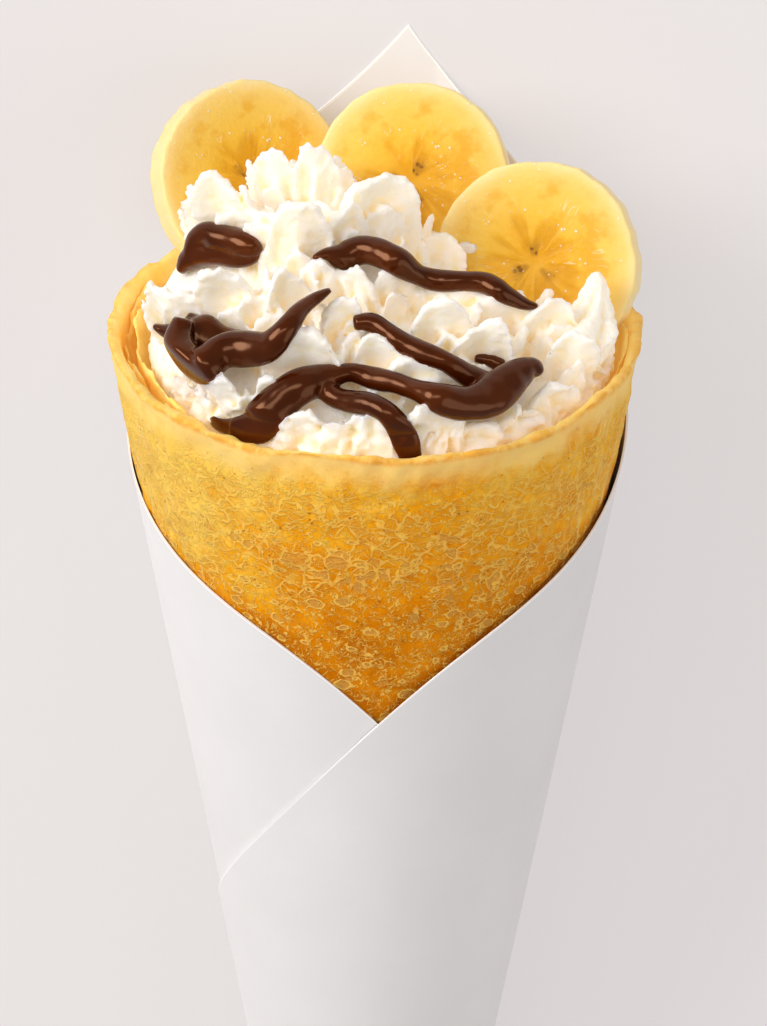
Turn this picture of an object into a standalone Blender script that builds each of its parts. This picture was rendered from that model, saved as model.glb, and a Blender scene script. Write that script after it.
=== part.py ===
"""A banana crepe rolled in a paper cone, lying on its back with the filling's show side up.

The shapes are worked out standing up, in millimetres: the cone's point is at the origin, its
axis is +Z, and its front is -Y. A turn is an angle round the axis in degrees, 0 at the front
and growing to the right as seen from the front. lay_down() then lays everything on its back.
"""

import math

import bmesh
import bpy
import numpy as np
from mathutils import Vector, noise
from mathutils.bvhtree import BVHTree

MM = 0.001

# The wrapped cone
CONE_SLOPE = 0.17              # radius gained for each millimetre along the axis
MOUTH_HEIGHT = 241.0           # from the cone's point to the crepe's rim
FLAT_HALF_TURN = 12.0          # the back is pressed flat this far to each side
CONE_ANGLE = math.atan(CONE_SLOPE)
FLAT_SLOPE = CONE_SLOPE * math.cos(math.radians(FLAT_HALF_TURN))
FLAT_ANGLE = math.atan(FLAT_SLOPE)

# The paper, one sheet wrapped a turn and a half; wraps count from the middle of the back
PAPER_THICKNESS = 0.3
PAPER_INNER_OFFSET = -0.15
PAPER_LAYER_STEP = 0.55        # how much further out the second wrap lies
PAPER_TIP = 10.0               # slant distance from the cone's point where the sheet starts
PAPER_CORNER = 275.0           # slant distance to the corner that stands up at the back
PAPER_CORNER_WRAP = 6.2        # and its place, a little to the right of the middle
PAPER_RIGHT_FALL = (0.925, 5.0)  # slope of the edge right of that corner, and how far it bows
PAPER_LEFT_FALL = (0.85, 2.7)    # the same for the edge on the left
PAPER_CORNER_BLEND = 8.0       # distance over which the edges bow
PAPER_LEFT_SIDE = 100.5        # distance from the sheet's middle line to its left edge
PAPER_RIGHT_SIDE = 99.3        # and to its right edge
PAPER_CORNER_ROUNDNESS = 16.0
PAPER_FIRST_WRAP = -220.0
PAPER_LAST_WRAP = 300.0
PAPER_WRAP_STEP = 5.0
PAPER_ROWS = (0.0, 0.6, 1.0)   # shares of the way from the tip to the edge
PAPER_LAP = (-60.0, -15.0, 15.0, 60.0)  # wraps between which the sheet steps out, twice half way

# The crepe
CREPE_OFFSET = -0.45           # leaves 0.3 mm to the paper
CREPE_FLOOR = 205.0            # the bottom of the pocket that holds the filling
CREPE_LIP = 1.8                # thickness at the rim
CREPE_FLOOR_WALL = 7.0         # and at the floor of the pocket, where it is many layers
CREPE_LIP_DEPTH = 9.0          # how far down the rim keeps its thickness
CREPE_COLUMNS = 72
CREPE_LEVELS = (40.0, 75.0, 110.0, 145.0, 178.0, 200.0, 216.0, 228.0, 236.0)
CREPE_POCKET_LEVELS = (232.0, 222.0, 212.0, CREPE_FLOOR)
CREPE_LIP_ROUND = ((0.0, 0.9), (0.35, 0.25), (0.9, 0.0), (1.45, 0.25), (CREPE_LIP, 0.9))
LEAF_THICKNESS = 1.0
LEAF_FOOT = 214.0
LEAF_FOOT_INSET = 1.45
LEAF_BEND = 234.0              # above this height a leaf stands clear of the wall
LEAF_COLUMNS = 14
LEAF_ROWS = (0.0, 0.35, 0.7, 1.0)
LEAF_END_DROP = 2.5            # how much lower a leaf's crest is at its two ends
LEAF_WAVE = 0.5

# The inner layers that show at both sides: first turn, last turn, inset, height of the top
CREPE_LEAVES = (
    ("strand", -128.0, -34.0, 4.2, 240.5),
    ("tongue", -94.0, -40.0, 2.7, 239.6),
    ("lobe", -124.0, -96.0, 2.6, 240.4),
    ("scrap", 58.0, 124.0, 2.5, 241.2),
)

# The filling, heaped in hills: across, behind the axis, rise, width and depth
FILLING_GAP = 0.35
FILLING_HILLS = (
    (-6.0, 3.0, 13.0, 24.0, 21.0),
    (-10.5, 9.0, 12.0, 10.0, 8.0),
)
HILL_RIGHT = 0.74              # share of a hill's width to the right of its middle
FILLING_EDGE = 239.0
FILLING_COLUMNS = 40
FILLING_LEVELS = (CREPE_FLOOR + FILLING_GAP, 220.0, 232.0, FILLING_EDGE)
FILLING_RINGS = (0.97, 0.86, 0.72, 0.56, 0.38, 0.2)  # shares of the edge's radius
FILLING_SHOULDER = 0.2         # share of the radius over which the heap rises from its edge
FILLING_SPACE_LEVELS = (CREPE_FLOOR + FILLING_GAP / 2.0, 214.0, 223.0, 232.0, 238.0, 244.0, 290.0)
FILLING_FLARE = 0.5            # above the rim the heap may spread by this slope
FILLING_TRIANGLES = 5000

# The arrangement faces a point in front and above: places on it are given in millimetres
# across and up, in the plane through the mouth's centre that faces that point
SIGHT_PITCH = math.radians(29.77)
SIGHT_POINT = Vector((1.48, -805.6, 669.9))
MOUTH_CENTRE = Vector((0.0, 0.0, MOUTH_HEIGHT))
SIGHT_ACROSS = Vector((1.0, 0.0, 0.0))
SIGHT_UP = Vector((0.0, math.sin(SIGHT_PITCH), math.cos(SIGHT_PITCH)))

# Banana slices: across, up, distance behind the axis, radius, turn to the right
SLICE_THICKNESS = 5.4
SLICE_LEAN = 28.0
SLICE_SIDES = 36
SLICE_BEVEL = 0.5
BANANA_SLICES = {
    "banana_slice_left": (-18.4, 22.9, 24.5, 15.4, 26.0),
    "banana_slice_middle": (5.4, 22.9, 21.5, 15.2, -8.0),
    "banana_slice_right": (24.2, 10.4, 5.0, 15.7, -14.0),
}

# Lobes of whipped cream: across and up of the root, width, height, turn of the face
CREAM_LOBES = (
    (-14.6, 20.6, 7.0, 8.2, -10.0),
    (-9.1, 21.4, 7.0, 7.8, 15.0),
    (-5.4, 20.2, 4.6, 5.7, 30.0),
    (-0.3, 14.7, 13.7, 11.0, 20.0),
    (-21.6, 14.1, 9.4, 11.6, -25.0),
    (-25.5, 14.4, 5.5, 7.4, -50.0),
    (-17.0, 13.8, 5.2, 9.8, -60.0),
    (-10.9, 10.2, 10.3, 11.2, 5.0),
    (-16.1, 10.2, 7.6, 7.4, -20.0),
    (-4.4, 12.3, 6.7, 8.1, 25.0),
    (3.7, 12.0, 6.7, 6.7, 30.0),
    (10.1, 10.5, 7.9, 4.9, 0.0),
    (13.6, 10.0, 6.1, 3.9, 15.0),
    (-30.2, 0.6, 6.4, 8.8, -35.0),
    (-27.6, -0.2, 7.6, 9.1, -30.0),
    (-20.9, 0.7, 10.6, 11.6, -15.0),
    (-17.0, -0.2, 9.1, 7.0, 0.0),
    (-13.3, 1.3, 7.6, 10.2, 20.0),
    (-8.5, 4.7, 7.0, 7.7, 10.0),
    (-2.1, 3.9, 6.7, 7.7, -25.0),
    (2.2, 3.9, 7.6, 8.4, 25.0),
    (-4.4, -2.2, 7.0, 10.5, -10.0),
    (-10.5, -7.5, 12.2, 11.2, -5.0),
    (-6.4, -3.2, 6.4, 7.7, 20.0),
    (0.6, -6.6, 8.8, 8.4, 5.0),
    (8.8, -3.2, 9.7, 11.2, 15.0),
    (12.3, 1.3, 9.4, 8.1, 5.0),
    (18.0, -0.9, 10.9, 9.5, 10.0),
    (24.5, -2.5, 9.1, 9.8, 15.0),
    (15.4, -6.0, 10.3, 10.2, 5.0),
    (5.8, -9.0, 13.4, 7.4, 10.0),
    (29.1, -6.6, 8.8, 9.0, 10.0),
    (26.0, -14.6, 10.3, 10.2, 25.0),
    (21.5, -17.2, 9.4, 7.4, 10.0),
    (15.8, -18.4, 8.8, 6.7, 0.0),
    (7.0, -19.2, 10.9, 12.6, 25.0),
    (0.3, -17.7, 6.1, 7.7, -10.0),
    (-15.5, -11.1, 5.8, 6.0, 10.0),
    (-21.9, -15.7, 7.9, 13.0, -10.0),
    (-27.9, -14.6, 8.5, 9.5, -35.0),
    (-4.8, -19.2, 7.0, 8.1, -5.0),
    (-10.3, -18.7, 9.1, 9.1, -15.0),
)
LOBE_COLUMNS = 6
LOBE_ROWS = 3
LOBE_ROOT = 3.0                # how deep a lobe is rooted
LOBE_THICKNESS = 0.36          # of its width
LOBE_TAPER = 0.60              # share of that thickness lost towards the top
LOBE_SIDE_FALL = (0.36, 3.4)   # how far the top falls to the sides, and how late
LOBE_UNEVEN = (0.13, 0.05)     # broad and fine unevenness of the top
LOBE_FLUTE = 0.20              # depth of the flutes, of the thickness
LOBE_WAVE = 0.06               # sideways wave, of the width
LOBE_CUP = (0.16, 0.10)        # forward lean of the top and of the sides
LOBE_TILT = 0.25               # how far the faces look up
LOBE_SPREAD = 0.011            # lean away from the axis for each millimetre from it
LOBE_SPREAD_REACH = 25.0       # distance from the axis past which the lean grows no more
LOBE_RIM_ROOM = 3.0            # least distance from a lobe's root to the rim's inside

# Piped points: middle of the foot, tip, radius of the foot, ridges
CREAM_POINTS = (
    ((30.5, -12.0, 241.0), (33.4, -2.0, 252.5), 7.8, 8),
)
POINT_COLUMNS = 16
POINT_ROWS = 6
POINT_RIDGE = (0.72, 0.36)     # the radius between ridges, and how much a ridge adds
POINT_TWIST = 0.7              # turn of the ridges from foot to tip
POINT_BULGE = (0.25, 7.0)      # height and rate of the bulges towards the tip
POINT_SWAY = (0.9, 3.0)        # sideways bend of the tip

# Ribbons of chocolate sauce: points across, up and half width
SAUCE_RIBBONS = (
    ((-28.6, 11.4, 0.6), (-27.6, 13.4, 1.1), (-26.0, 14.5, 1.6), (-23.6, 14.1, 1.9),
     (-20.9, 13.4, 1.9), (-18.6, 12.6, 1.4), (-17.2, 12.2, 0.4)),
    ((-29.8, 8.8, 0.5), (-28.6, 10.4, 1.3), (-26.6, 11.6, 1.8), (-23.8, 11.7, 1.8),
     (-21.2, 11.3, 1.6), (-19.0, 11.2, 1.2), (-17.6, 11.5, 0.5)),
    ((-9.4, 10.9, 0.3), (-7.4, 11.7, 0.8), (-5.0, 11.2, 2.0), (-2.1, 12.3, 1.8), (0.9, 11.7, 1.8),
     (3.7, 10.3, 2.0), (6.3, 8.6, 1.4), (9.3, 7.7, 1.4), (13.1, 7.6, 1.4), (16.9, 7.3, 1.4),
     (19.9, 5.6, 1.2), (23.0, 4.1, 0.8), (24.8, 3.9, 0.3)),
    ((-33.7, 0.6, 0.3), (-32.2, -0.1, 0.8), (-30.4, -0.5, 1.4), (-28.4, -1.2, 1.9)),
    ((-29.1, 1.6, 1.4), (-29.9, -2.0, 2.0), (-28.2, -5.7, 2.4), (-25.8, -5.3, 2.6),
     (-23.1, -3.2, 2.3), (-19.4, -2.9, 2.3), (-16.1, -2.5, 2.1), (-13.6, 0.1, 1.5),
     (-11.4, 3.0, 1.1), (-9.1, 4.8, 0.8), (-6.8, 6.2, 0.3)),
    ((-28.8, 1.6, 1.1), (-25.8, 0.3, 1.2), (-22.5, -0.9, 1.1), (-19.1, -1.6, 1.2)),
    ((-28.6, -0.4, 2.0), (-26.6, -1.0, 2.9), (-24.2, -1.7, 2.6), (-21.0, -1.9, 1.4)),
    ((-3.2, 1.2, 0.9), (-0.6, 1.3, 1.2), (1.7, 0.1, 1.2), (4.0, -1.7, 1.4), (7.0, -3.2, 1.4),
     (10.8, -4.7, 1.4), (14.0, -6.6, 1.5), (16.4, -7.8, 1.5)),
    ((15.2, -4.1, 0.5), (17.4, -4.3, 0.8), (19.5, -5.3, 1.1)),
    ((-25.3, -13.7, 0.3), (-23.7, -14.6, 0.9), (-20.9, -15.1, 1.7), (-18.2, -14.8, 2.3),
     (-16.1, -12.6, 2.7), (-14.1, -10.5, 2.7), (-11.8, -8.8, 2.4), (-9.4, -7.8, 2.1),
     (-6.7, -7.0, 1.7), (-3.6, -6.4, 1.2), (-0.3, -7.2, 1.4), (2.8, -7.8, 1.4), (5.8, -8.8, 1.4),
     (8.5, -9.8, 1.7), (11.3, -10.7, 2.1), (14.3, -11.0, 2.4), (17.4, -10.1, 2.6),
     (20.1, -7.9, 2.4), (22.4, -6.1, 2.0), (24.2, -5.5, 1.4), (25.4, -6.3, 0.5)),
    ((-8.5, -8.4, 1.4), (-6.0, -10.1, 1.4), (-3.6, -10.8, 1.4), (-0.9, -11.1, 1.4),
     (1.7, -12.3, 1.5), (3.5, -14.3, 1.7), (4.7, -16.6, 1.7), (5.5, -18.9, 1.5), (5.8, -20.5, 1.4)),
)
SAUCE_BREADTH = 1.12           # the listed half widths are multiplied by this
SAUCE_RISE = (0.3, 0.80)       # height over the cream: a length, and a share of the half width
SAUCE_LEAST = 0.2              # least half width
SAUCE_UNEVEN = 0.06            # how much the width swells and shrinks
SAUCE_CLEAR = 0.15             # how deep in the cream the ribbon's middle lies
SAUCE_MOST = 2.2               # greatest height over the cream
SAUCE_LIFTS = {6: 2.2}         # ribbons laid nearer to the sight point: number, millimetres
SAUCE_ROOT = (2.5, 6.0)        # least and greatest depth of a ribbon's root
SAUCE_SINK = 0.6               # how far the root goes past the cream's surface
SAUCE_SLOPE = 0.7              # steepest a ribbon may run along the line of sight
SAUCE_STEP = 2.4
SAUCE_SIDES = 8

# Colours: name, base colour, roughness
MATERIALS = {
    "paper": ((0.86, 0.85, 0.84), 0.75),
    "crepe": ((0.80, 0.47, 0.13), 0.55),
    "cream": ((0.95, 0.92, 0.85), 0.45),
    "banana": ((0.93, 0.74, 0.30), 0.40),
}


def clear_scene():
    """Remove whatever the file already holds."""
    for item in list(bpy.data.objects):
        bpy.data.objects.remove(item, do_unlink=True)


def material(name):
    """A plain material from the table of colours."""
    colour, roughness = MATERIALS[name]
    made = bpy.data.materials.new(name)
    made.use_nodes = True
    shader = made.node_tree.nodes["Principled BSDF"]
    shader.inputs["Base Color"].default_value = (*colour, 1.0)
    shader.inputs["Roughness"].default_value = roughness
    shader.inputs["Metallic"].default_value = 0.0
    return made


def wrapped(turn):
    """The same turn between -180 and 180 degrees."""
    return (np.asarray(turn, float) + 180.0) % 360.0 - 180.0


def cone_radius(height, turn, offset=0.0):
    """Radius of the wrapped cone, offset outwards, with its back pressed flat."""
    from_back = np.radians(180.0 - np.abs(wrapped(turn)))
    round_part = CONE_SLOPE * height + offset / math.cos(CONE_ANGLE)
    flat_part = FLAT_SLOPE * height + offset / math.cos(FLAT_ANGLE)
    flat_part = flat_part / np.cos(np.minimum(from_back, 1.2))
    return np.minimum(round_part, flat_part)


def at_turn(radius, turn, height):
    """Points standing up, from cylindrical places."""
    angle = np.radians(turn)
    radius, angle, height = np.broadcast_arrays(radius, angle, height)
    return np.stack([radius * np.sin(angle), -radius * np.cos(angle), height], axis=-1)


def ripple(points, scale, seed, octaves=2):
    """Smooth noise between about -1 and 1 at each point; scale is the size of its waves."""
    flat = np.asarray(points, float).reshape(-1, 3) / scale
    offset = seed * 17.13
    values = [noise.fractal(Vector((x + offset, y, z - offset)), 0.9, 2.1, octaves,
                            noise_basis="PERLIN_ORIGINAL") for x, y, z in flat]
    return np.array(values)


def lay_down(points):
    """From standing up in millimetres to lying on the flat back in metres."""
    points = np.asarray(points, float)
    lean_sin = math.sin(FLAT_ANGLE)
    lean_cos = math.cos(FLAT_ANGLE)
    along = lean_sin * points[..., 1] + lean_cos * points[..., 2]
    above = lean_sin * points[..., 2] - lean_cos * points[..., 1]
    middle = (PAPER_TIP + PAPER_CORNER) / 2.0
    back_face = paper_offset(0.0) + PAPER_THICKNESS
    laid = np.stack([points[..., 0], along - middle, above + back_face], axis=-1)
    return laid * MM


def new_object(name, points, faces, skin):
    """A named object with its faces outward, in the lying frame."""
    mesh = bpy.data.meshes.new(name)
    mesh.from_pydata(lay_down(points).tolist(), [], faces)
    shaped = bmesh.new()
    shaped.from_mesh(mesh)
    bmesh.ops.recalc_face_normals(shaped, faces=shaped.faces)
    shaped.to_mesh(mesh)
    shaped.free()
    mesh.materials.append(skin)
    made = bpy.data.objects.new(name, mesh)
    bpy.context.scene.collection.objects.link(made)
    return made


def smooth(item, sharp_angle=40.0):
    """Smooth shading, with edges over the angle kept sharp."""
    item.data.shade_smooth()
    item.data.set_sharp_from_angle(angle=math.radians(sharp_angle))


def quads(rows, columns, start=0, closed=False):
    """Faces of a grid of points stored row by row."""
    faces = []
    last = columns if closed else columns - 1
    for row in range(rows - 1):
        for column in range(last):
            beside = (column + 1) % columns
            low = start + row * columns
            high = low + columns
            faces.append((low + column, low + beside, high + beside, high + column))
    return faces


def sheet_solid(front, back):
    """Points and faces of a sheet between two grids of the same size."""
    rows, columns = front.shape[:2]
    count = rows * columns
    points = np.concatenate([front.reshape(-1, 3), back.reshape(-1, 3)])
    faces = quads(rows, columns)
    faces += [tuple(reversed(face)) for face in quads(rows, columns, start=count)]
    border = [(0, column) for column in range(columns)]
    border += [(row, columns - 1) for row in range(1, rows)]
    border += [(rows - 1, column) for column in range(columns - 2, -1, -1)]
    border += [(row, 0) for row in range(rows - 2, 0, -1)]
    ids = [row * columns + column for row, column in border]
    for here, there in zip(ids, ids[1:] + ids[:1]):
        faces.append((here, here + count, there + count, there))
    return points, faces


def ring_solid(rings, first_centre, last_centre):
    """Points and faces of a stack of closed rings with a fan at each end."""
    columns = len(rings[0])
    points = np.concatenate(list(rings) + [[first_centre], [last_centre]])
    faces = quads(len(rings), columns, closed=True)
    first_id = len(rings) * columns
    last_id = first_id + 1
    top = (len(rings) - 1) * columns
    for column in range(columns):
        beside = (column + 1) % columns
        faces.append((first_id, beside, column))
        faces.append((last_id, top + column, top + beside))
    return points, faces


def paper_offset(wrap):
    """Offset of the sheet's inner face: the second wrap lies outside the first."""
    step = np.interp(wrap, PAPER_LAP, (0.0, 0.5, 0.5, 1.0))
    return PAPER_INNER_OFFSET + PAPER_LAYER_STEP * step


def paper_edge(wrap):
    """Slant distance from the cone's point to the sheet's edge."""
    spread = np.radians(wrap) * math.sin(CONE_ANGLE)
    corner = math.radians(PAPER_CORNER_WRAP) * math.sin(CONE_ANGLE)
    corner_across = PAPER_CORNER * math.sin(corner)
    corner_up = PAPER_CORNER * math.cos(corner)
    right = spread > corner
    slope = np.where(right, PAPER_RIGHT_FALL[0], -PAPER_LEFT_FALL[0])
    bow = np.where(right, PAPER_RIGHT_FALL[1], PAPER_LEFT_FALL[1])
    gable = np.full_like(spread, PAPER_CORNER)
    for _ in range(4):
        away = np.abs(gable * np.sin(spread) - corner_across)
        drop = bow * (1.0 - np.exp(-away / PAPER_CORNER_BLEND))
        gable = (corner_up + slope * corner_across - drop) / (np.cos(spread) + slope * np.sin(spread))
    breadth = np.where(right, PAPER_RIGHT_SIDE, PAPER_LEFT_SIDE)
    side = breadth / np.maximum(np.sin(np.abs(spread)), 0.05)
    power = PAPER_CORNER_ROUNDNESS
    return (gable ** -power + side ** -power) ** (-1.0 / power)


def make_paper(skin):
    """The sheet round the cone, from its point up to its cut edge."""
    wraps = np.arange(PAPER_FIRST_WRAP, PAPER_LAST_WRAP + 0.1, PAPER_WRAP_STEP)
    for special in (PAPER_CORNER_WRAP, FLAT_HALF_TURN, -FLAT_HALF_TURN):
        wraps[np.argmin(np.abs(wraps - special))] = special
    faces = []
    for depth in (0.0, PAPER_THICKNESS):
        grid = []
        for share in PAPER_ROWS:
            slant = PAPER_TIP + (paper_edge(wraps) - PAPER_TIP) * share
            height = slant * math.cos(CONE_ANGLE)
            turn = 180.0 - wraps
            radius = cone_radius(height, turn, paper_offset(wraps) + depth)
            grid.append(at_turn(radius, turn, height))
        faces.append(np.array(grid))
    points, sides = sheet_solid(faces[1], faces[0])
    item = new_object("paper_cone", points, sides, skin)
    smooth(item)
    return item


def rim_height(turn):
    """The crepe's rim rises a little to the back and waves."""
    angle = np.radians(turn)
    wave = 0.45 * np.cos(5.0 * angle + 0.6) + 0.3 * np.cos(11.0 * angle + 2.0)
    return MOUTH_HEIGHT + 1.0 - np.cos(angle) + wave


def wall_inset(height):
    """Thickness of the crepe's wall round the pocket."""
    bend = MOUTH_HEIGHT - CREPE_LIP_DEPTH
    return np.interp(height, (CREPE_FLOOR, bend), (CREPE_FLOOR_WALL, CREPE_LIP))


def leaf_inset(leaf, height, turn):
    """How far inside the crepe's outer face the middle of an inner layer lies."""
    _, first, last, inset, _ = leaf
    along = np.clip((wrapped(turn) - first) / (last - first), 0.0, 1.0)
    top = LEAF_FOOT_INSET + (inset - LEAF_FOOT_INSET) * np.sqrt(np.sin(math.pi * along))
    rise = np.clip((height - LEAF_FOOT) / (LEAF_BEND - LEAF_FOOT), 0.0, 1.0)
    return LEAF_FOOT_INSET + (top - LEAF_FOOT_INSET) * rise


def crepe_cup():
    """The rolled crepe, solid below the pocket that holds the filling."""
    turns = np.arange(CREPE_COLUMNS) * 360.0 / CREPE_COLUMNS
    rim = rim_height(turns)
    rings = [at_turn(cone_radius(level, turns, CREPE_OFFSET), turns, level) for level in CREPE_LEVELS]
    for inset, drop in CREPE_LIP_ROUND:
        height = rim - drop
        rings.append(at_turn(cone_radius(height, turns, CREPE_OFFSET) - inset, turns, height))
    for height in CREPE_POCKET_LEVELS:
        inset = wall_inset(height)
        rings.append(at_turn(cone_radius(height, turns, CREPE_OFFSET) - inset, turns, height))
    return ring_solid(rings, (0.0, 0.0, CREPE_LEVELS[0]), (0.0, 0.0, CREPE_FLOOR))


def crepe_leaf(leaf):
    """One inner layer that stands clear of the wall at its top."""
    _, first, last, _, top = leaf
    turns = np.linspace(first, last, LEAF_COLUMNS)
    along = (turns - first) / (last - first)
    crest = top - LEAF_END_DROP * np.abs(2.0 * along - 1.0) ** 3 + LEAF_WAVE * np.cos(along * 17.0)
    grids = []
    for side in (-0.5, 0.5):
        grid = []
        for share in LEAF_ROWS:
            height = LEAF_FOOT + (crest - LEAF_FOOT) * share
            inset = leaf_inset(leaf, height, turns) - side * LEAF_THICKNESS
            grid.append(at_turn(cone_radius(height, turns, CREPE_OFFSET) - inset, turns, height))
        grids.append(np.array(grid))
    return sheet_solid(grids[1], grids[0])


def make_crepe(skin):
    """The cup with its inner layers fused on."""
    points, faces = crepe_cup()
    cup = new_object("crepe", points, faces, skin)
    layers = []
    for leaf in CREPE_LEAVES:
        points, faces = crepe_leaf(leaf)
        layers.append(new_object("crepe_" + leaf[0], points, faces, skin))
    fuse(cup, layers, solver="MANIFOLD")
    smooth(cup)
    return cup


def fuse(item, extras, operation="UNION", solver="EXACT"):
    """One Boolean with a collection, applied; the collection's objects are then removed."""
    group = bpy.data.collections.new(item.name + "_extras")
    for extra in extras:
        group.objects.link(extra)
    modifier = item.modifiers.new("fuse", "BOOLEAN")
    modifier.operation = operation
    modifier.solver = solver
    modifier.operand_type = "COLLECTION"
    modifier.collection = group
    apply_modifiers(item)
    for extra in extras:
        bpy.data.objects.remove(extra, do_unlink=True)
    bpy.data.collections.remove(group)


def apply_modifiers(item):
    """Swap the mesh for the evaluated one, with its loose scraps dropped."""
    depsgraph = bpy.context.evaluated_depsgraph_get()
    evaluated = item.evaluated_get(depsgraph)
    mesh = bpy.data.meshes.new_from_object(evaluated)
    item.modifiers.clear()
    old = item.data
    item.data = mesh
    mesh.name = old.name
    bpy.data.meshes.remove(old)
    tidy = bmesh.new()
    tidy.from_mesh(mesh)
    bmesh.ops.triangulate(tidy, faces=tidy.faces)
    drop_scraps(tidy)
    tidy.to_mesh(mesh)
    tidy.free()


def simplify(item, triangles):
    """Collapse short edges down to about this many triangles."""
    modifier = item.modifiers.new("simplify", "DECIMATE")
    modifier.decimate_type = "COLLAPSE"
    modifier.ratio = min(1.0, triangles / len(item.data.polygons))
    modifier.use_collapse_triangulate = True
    apply_modifiers(item)


def drop_scraps(tidy):
    """Keep the largest connected shape."""
    left = set(tidy.verts)
    shapes = []
    while left:
        seed = left.pop()
        shape = {seed}
        edge = [seed]
        while edge:
            point = edge.pop()
            for link in point.link_edges:
                other = link.other_vert(point)
                if other in left:
                    left.remove(other)
                    shape.add(other)
                    edge.append(other)
        shapes.append(shape)
    shapes.sort(key=len, reverse=True)
    loose = [point for shape in shapes[1:] for point in shape]
    bmesh.ops.delete(tidy, geom=loose, context="VERTS")


def filling_limit(height, turn):
    """Radius that the filling may reach: just inside the wall and the inner layers."""
    inset = wall_inset(height)
    for leaf in CREPE_LEAVES:
        outside = (wrapped(turn) < leaf[1]) | (wrapped(turn) > leaf[2])
        inner = leaf_inset(leaf, height, turn) + LEAF_THICKNESS / 2.0
        inset = np.maximum(inset, np.where(outside, 0.0, inner))
    at_rim = np.minimum(height, MOUTH_HEIGHT)
    radius = cone_radius(at_rim, turn, CREPE_OFFSET) - inset - FILLING_GAP
    return radius + FILLING_FLARE * np.maximum(height - MOUTH_HEIGHT - 3.0, 0.0)


def mound_height(across, back):
    """The heap's underlying hills."""
    height = FILLING_EDGE + 2.0
    for middle, behind, rise, wide, deep in FILLING_HILLS:
        wide = np.where(np.asarray(across) > middle, wide * HILL_RIGHT, wide)
        reach = ((across - middle) / wide) ** 2 + ((back - behind) / deep) ** 2
        height = height + rise * np.exp(-0.5 * reach)
    return height


def filling_core():
    """The pocket's fill and the hills over it, before lobes are added."""
    turns = np.arange(FILLING_COLUMNS) * 360.0 / FILLING_COLUMNS
    rings = []
    for height in FILLING_LEVELS:
        rings.append(at_turn(filling_limit(height, turns), turns, height))
    edge = filling_limit(FILLING_EDGE, turns)
    for share in FILLING_RINGS:
        place = at_turn(edge * share, turns, 0.0)
        height = mound_height(place[:, 0], place[:, 1])
        blend = min(1.0, (1.0 - share) / FILLING_SHOULDER)
        place[:, 2] = FILLING_EDGE + (height - FILLING_EDGE) * blend ** 0.6
        rings.append(place)
    top = float(mound_height(0.0, 0.0))
    return ring_solid(rings, (0.0, 0.0, FILLING_LEVELS[0]), (0.0, 0.0, top))


def filling_envelope():
    """The space that the filling keeps to."""
    turns = np.arange(CREPE_COLUMNS) * 360.0 / CREPE_COLUMNS
    rings = []
    for height in FILLING_SPACE_LEVELS:
        rings.append(at_turn(filling_limit(height, turns), turns, height))
    bottom, *_, top = FILLING_SPACE_LEVELS
    return ring_solid(rings, (0.0, 0.0, bottom), (0.0, 0.0, top))


def sight_line(across, up):
    """Direction from the sight point to a place on the arrangement."""
    place = MOUTH_CENTRE + SIGHT_ACROSS * across + SIGHT_UP * up
    return (place - SIGHT_POINT).normalized()


def at_depth(across, up, back):
    """The point on a sight line at a given distance behind the axis."""
    line = sight_line(across, up)
    return SIGHT_POINT + line * ((back - SIGHT_POINT.y) / line.y)


def mound_point(across, up):
    """Where a sight line first meets the heap's hills."""
    for back in np.arange(-45.0, 45.0, 0.4):
        point = at_depth(across, up, back)
        if point.z <= mound_height(point.x, point.y):
            break
    return point


def rooted_point(across, up, room):
    """The same, but slid along the sight line until it lies well inside the rim."""
    point = mound_point(across, up)
    line = sight_line(across, up)
    for _ in range(60):
        limit = CONE_SLOPE * MOUTH_HEIGHT - CREPE_LIP - room
        if math.hypot(point.x, point.y) <= limit:
            break
        point = point + line * 0.4
    return point


def slice_frame(spec):
    """Centre, across, up and facing directions of a slice."""
    across, up, back, _, turn = spec
    centre = at_depth(across, up, back)
    lean = math.radians(SLICE_LEAN)
    angle = math.radians(turn)
    facing = Vector((math.sin(angle) * math.cos(lean), -math.cos(angle) * math.cos(lean), math.sin(lean)))
    side = Vector((math.cos(angle), math.sin(angle), 0.0))
    return centre, side, facing.cross(side) * -1.0, facing


def banana_slice(spec, grow=0.0):
    """A round slice; its front face passes through its centre."""
    centre, side, above, facing = slice_frame(spec)
    radius = spec[3] + grow
    turns = np.arange(SLICE_SIDES) * 2.0 * math.pi / SLICE_SIDES
    outline = radius * (1.0 + 0.008 * np.cos(5.0 * turns + spec[0]) + 0.005 * np.cos(9.0 * turns))
    section = ((0.55, grow), (1.0 - SLICE_BEVEL / radius, grow), (1.0, grow - SLICE_BEVEL),
               (1.0, SLICE_BEVEL - SLICE_THICKNESS - grow),
               (1.0 - SLICE_BEVEL / radius, -SLICE_THICKNESS - grow))
    rings = []
    for share, depth in section:
        ring = []
        for turn, reach in zip(turns, outline):
            offset = side * (math.cos(turn) * reach * share) + above * (math.sin(turn) * reach * share)
            ring.append(tuple(centre + offset + facing * depth))
        rings.append(np.array(ring))
    front = tuple(centre + facing * (grow - 0.25))
    back = tuple(centre - facing * (SLICE_THICKNESS + grow))
    return ring_solid(rings, front, back)


def make_slice(name, skin):
    """One slice of banana, standing in the cream behind the heap."""
    points, faces = banana_slice(BANANA_SLICES[name])
    item = new_object(name, points, faces, skin)
    smooth(item)
    return item


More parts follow.
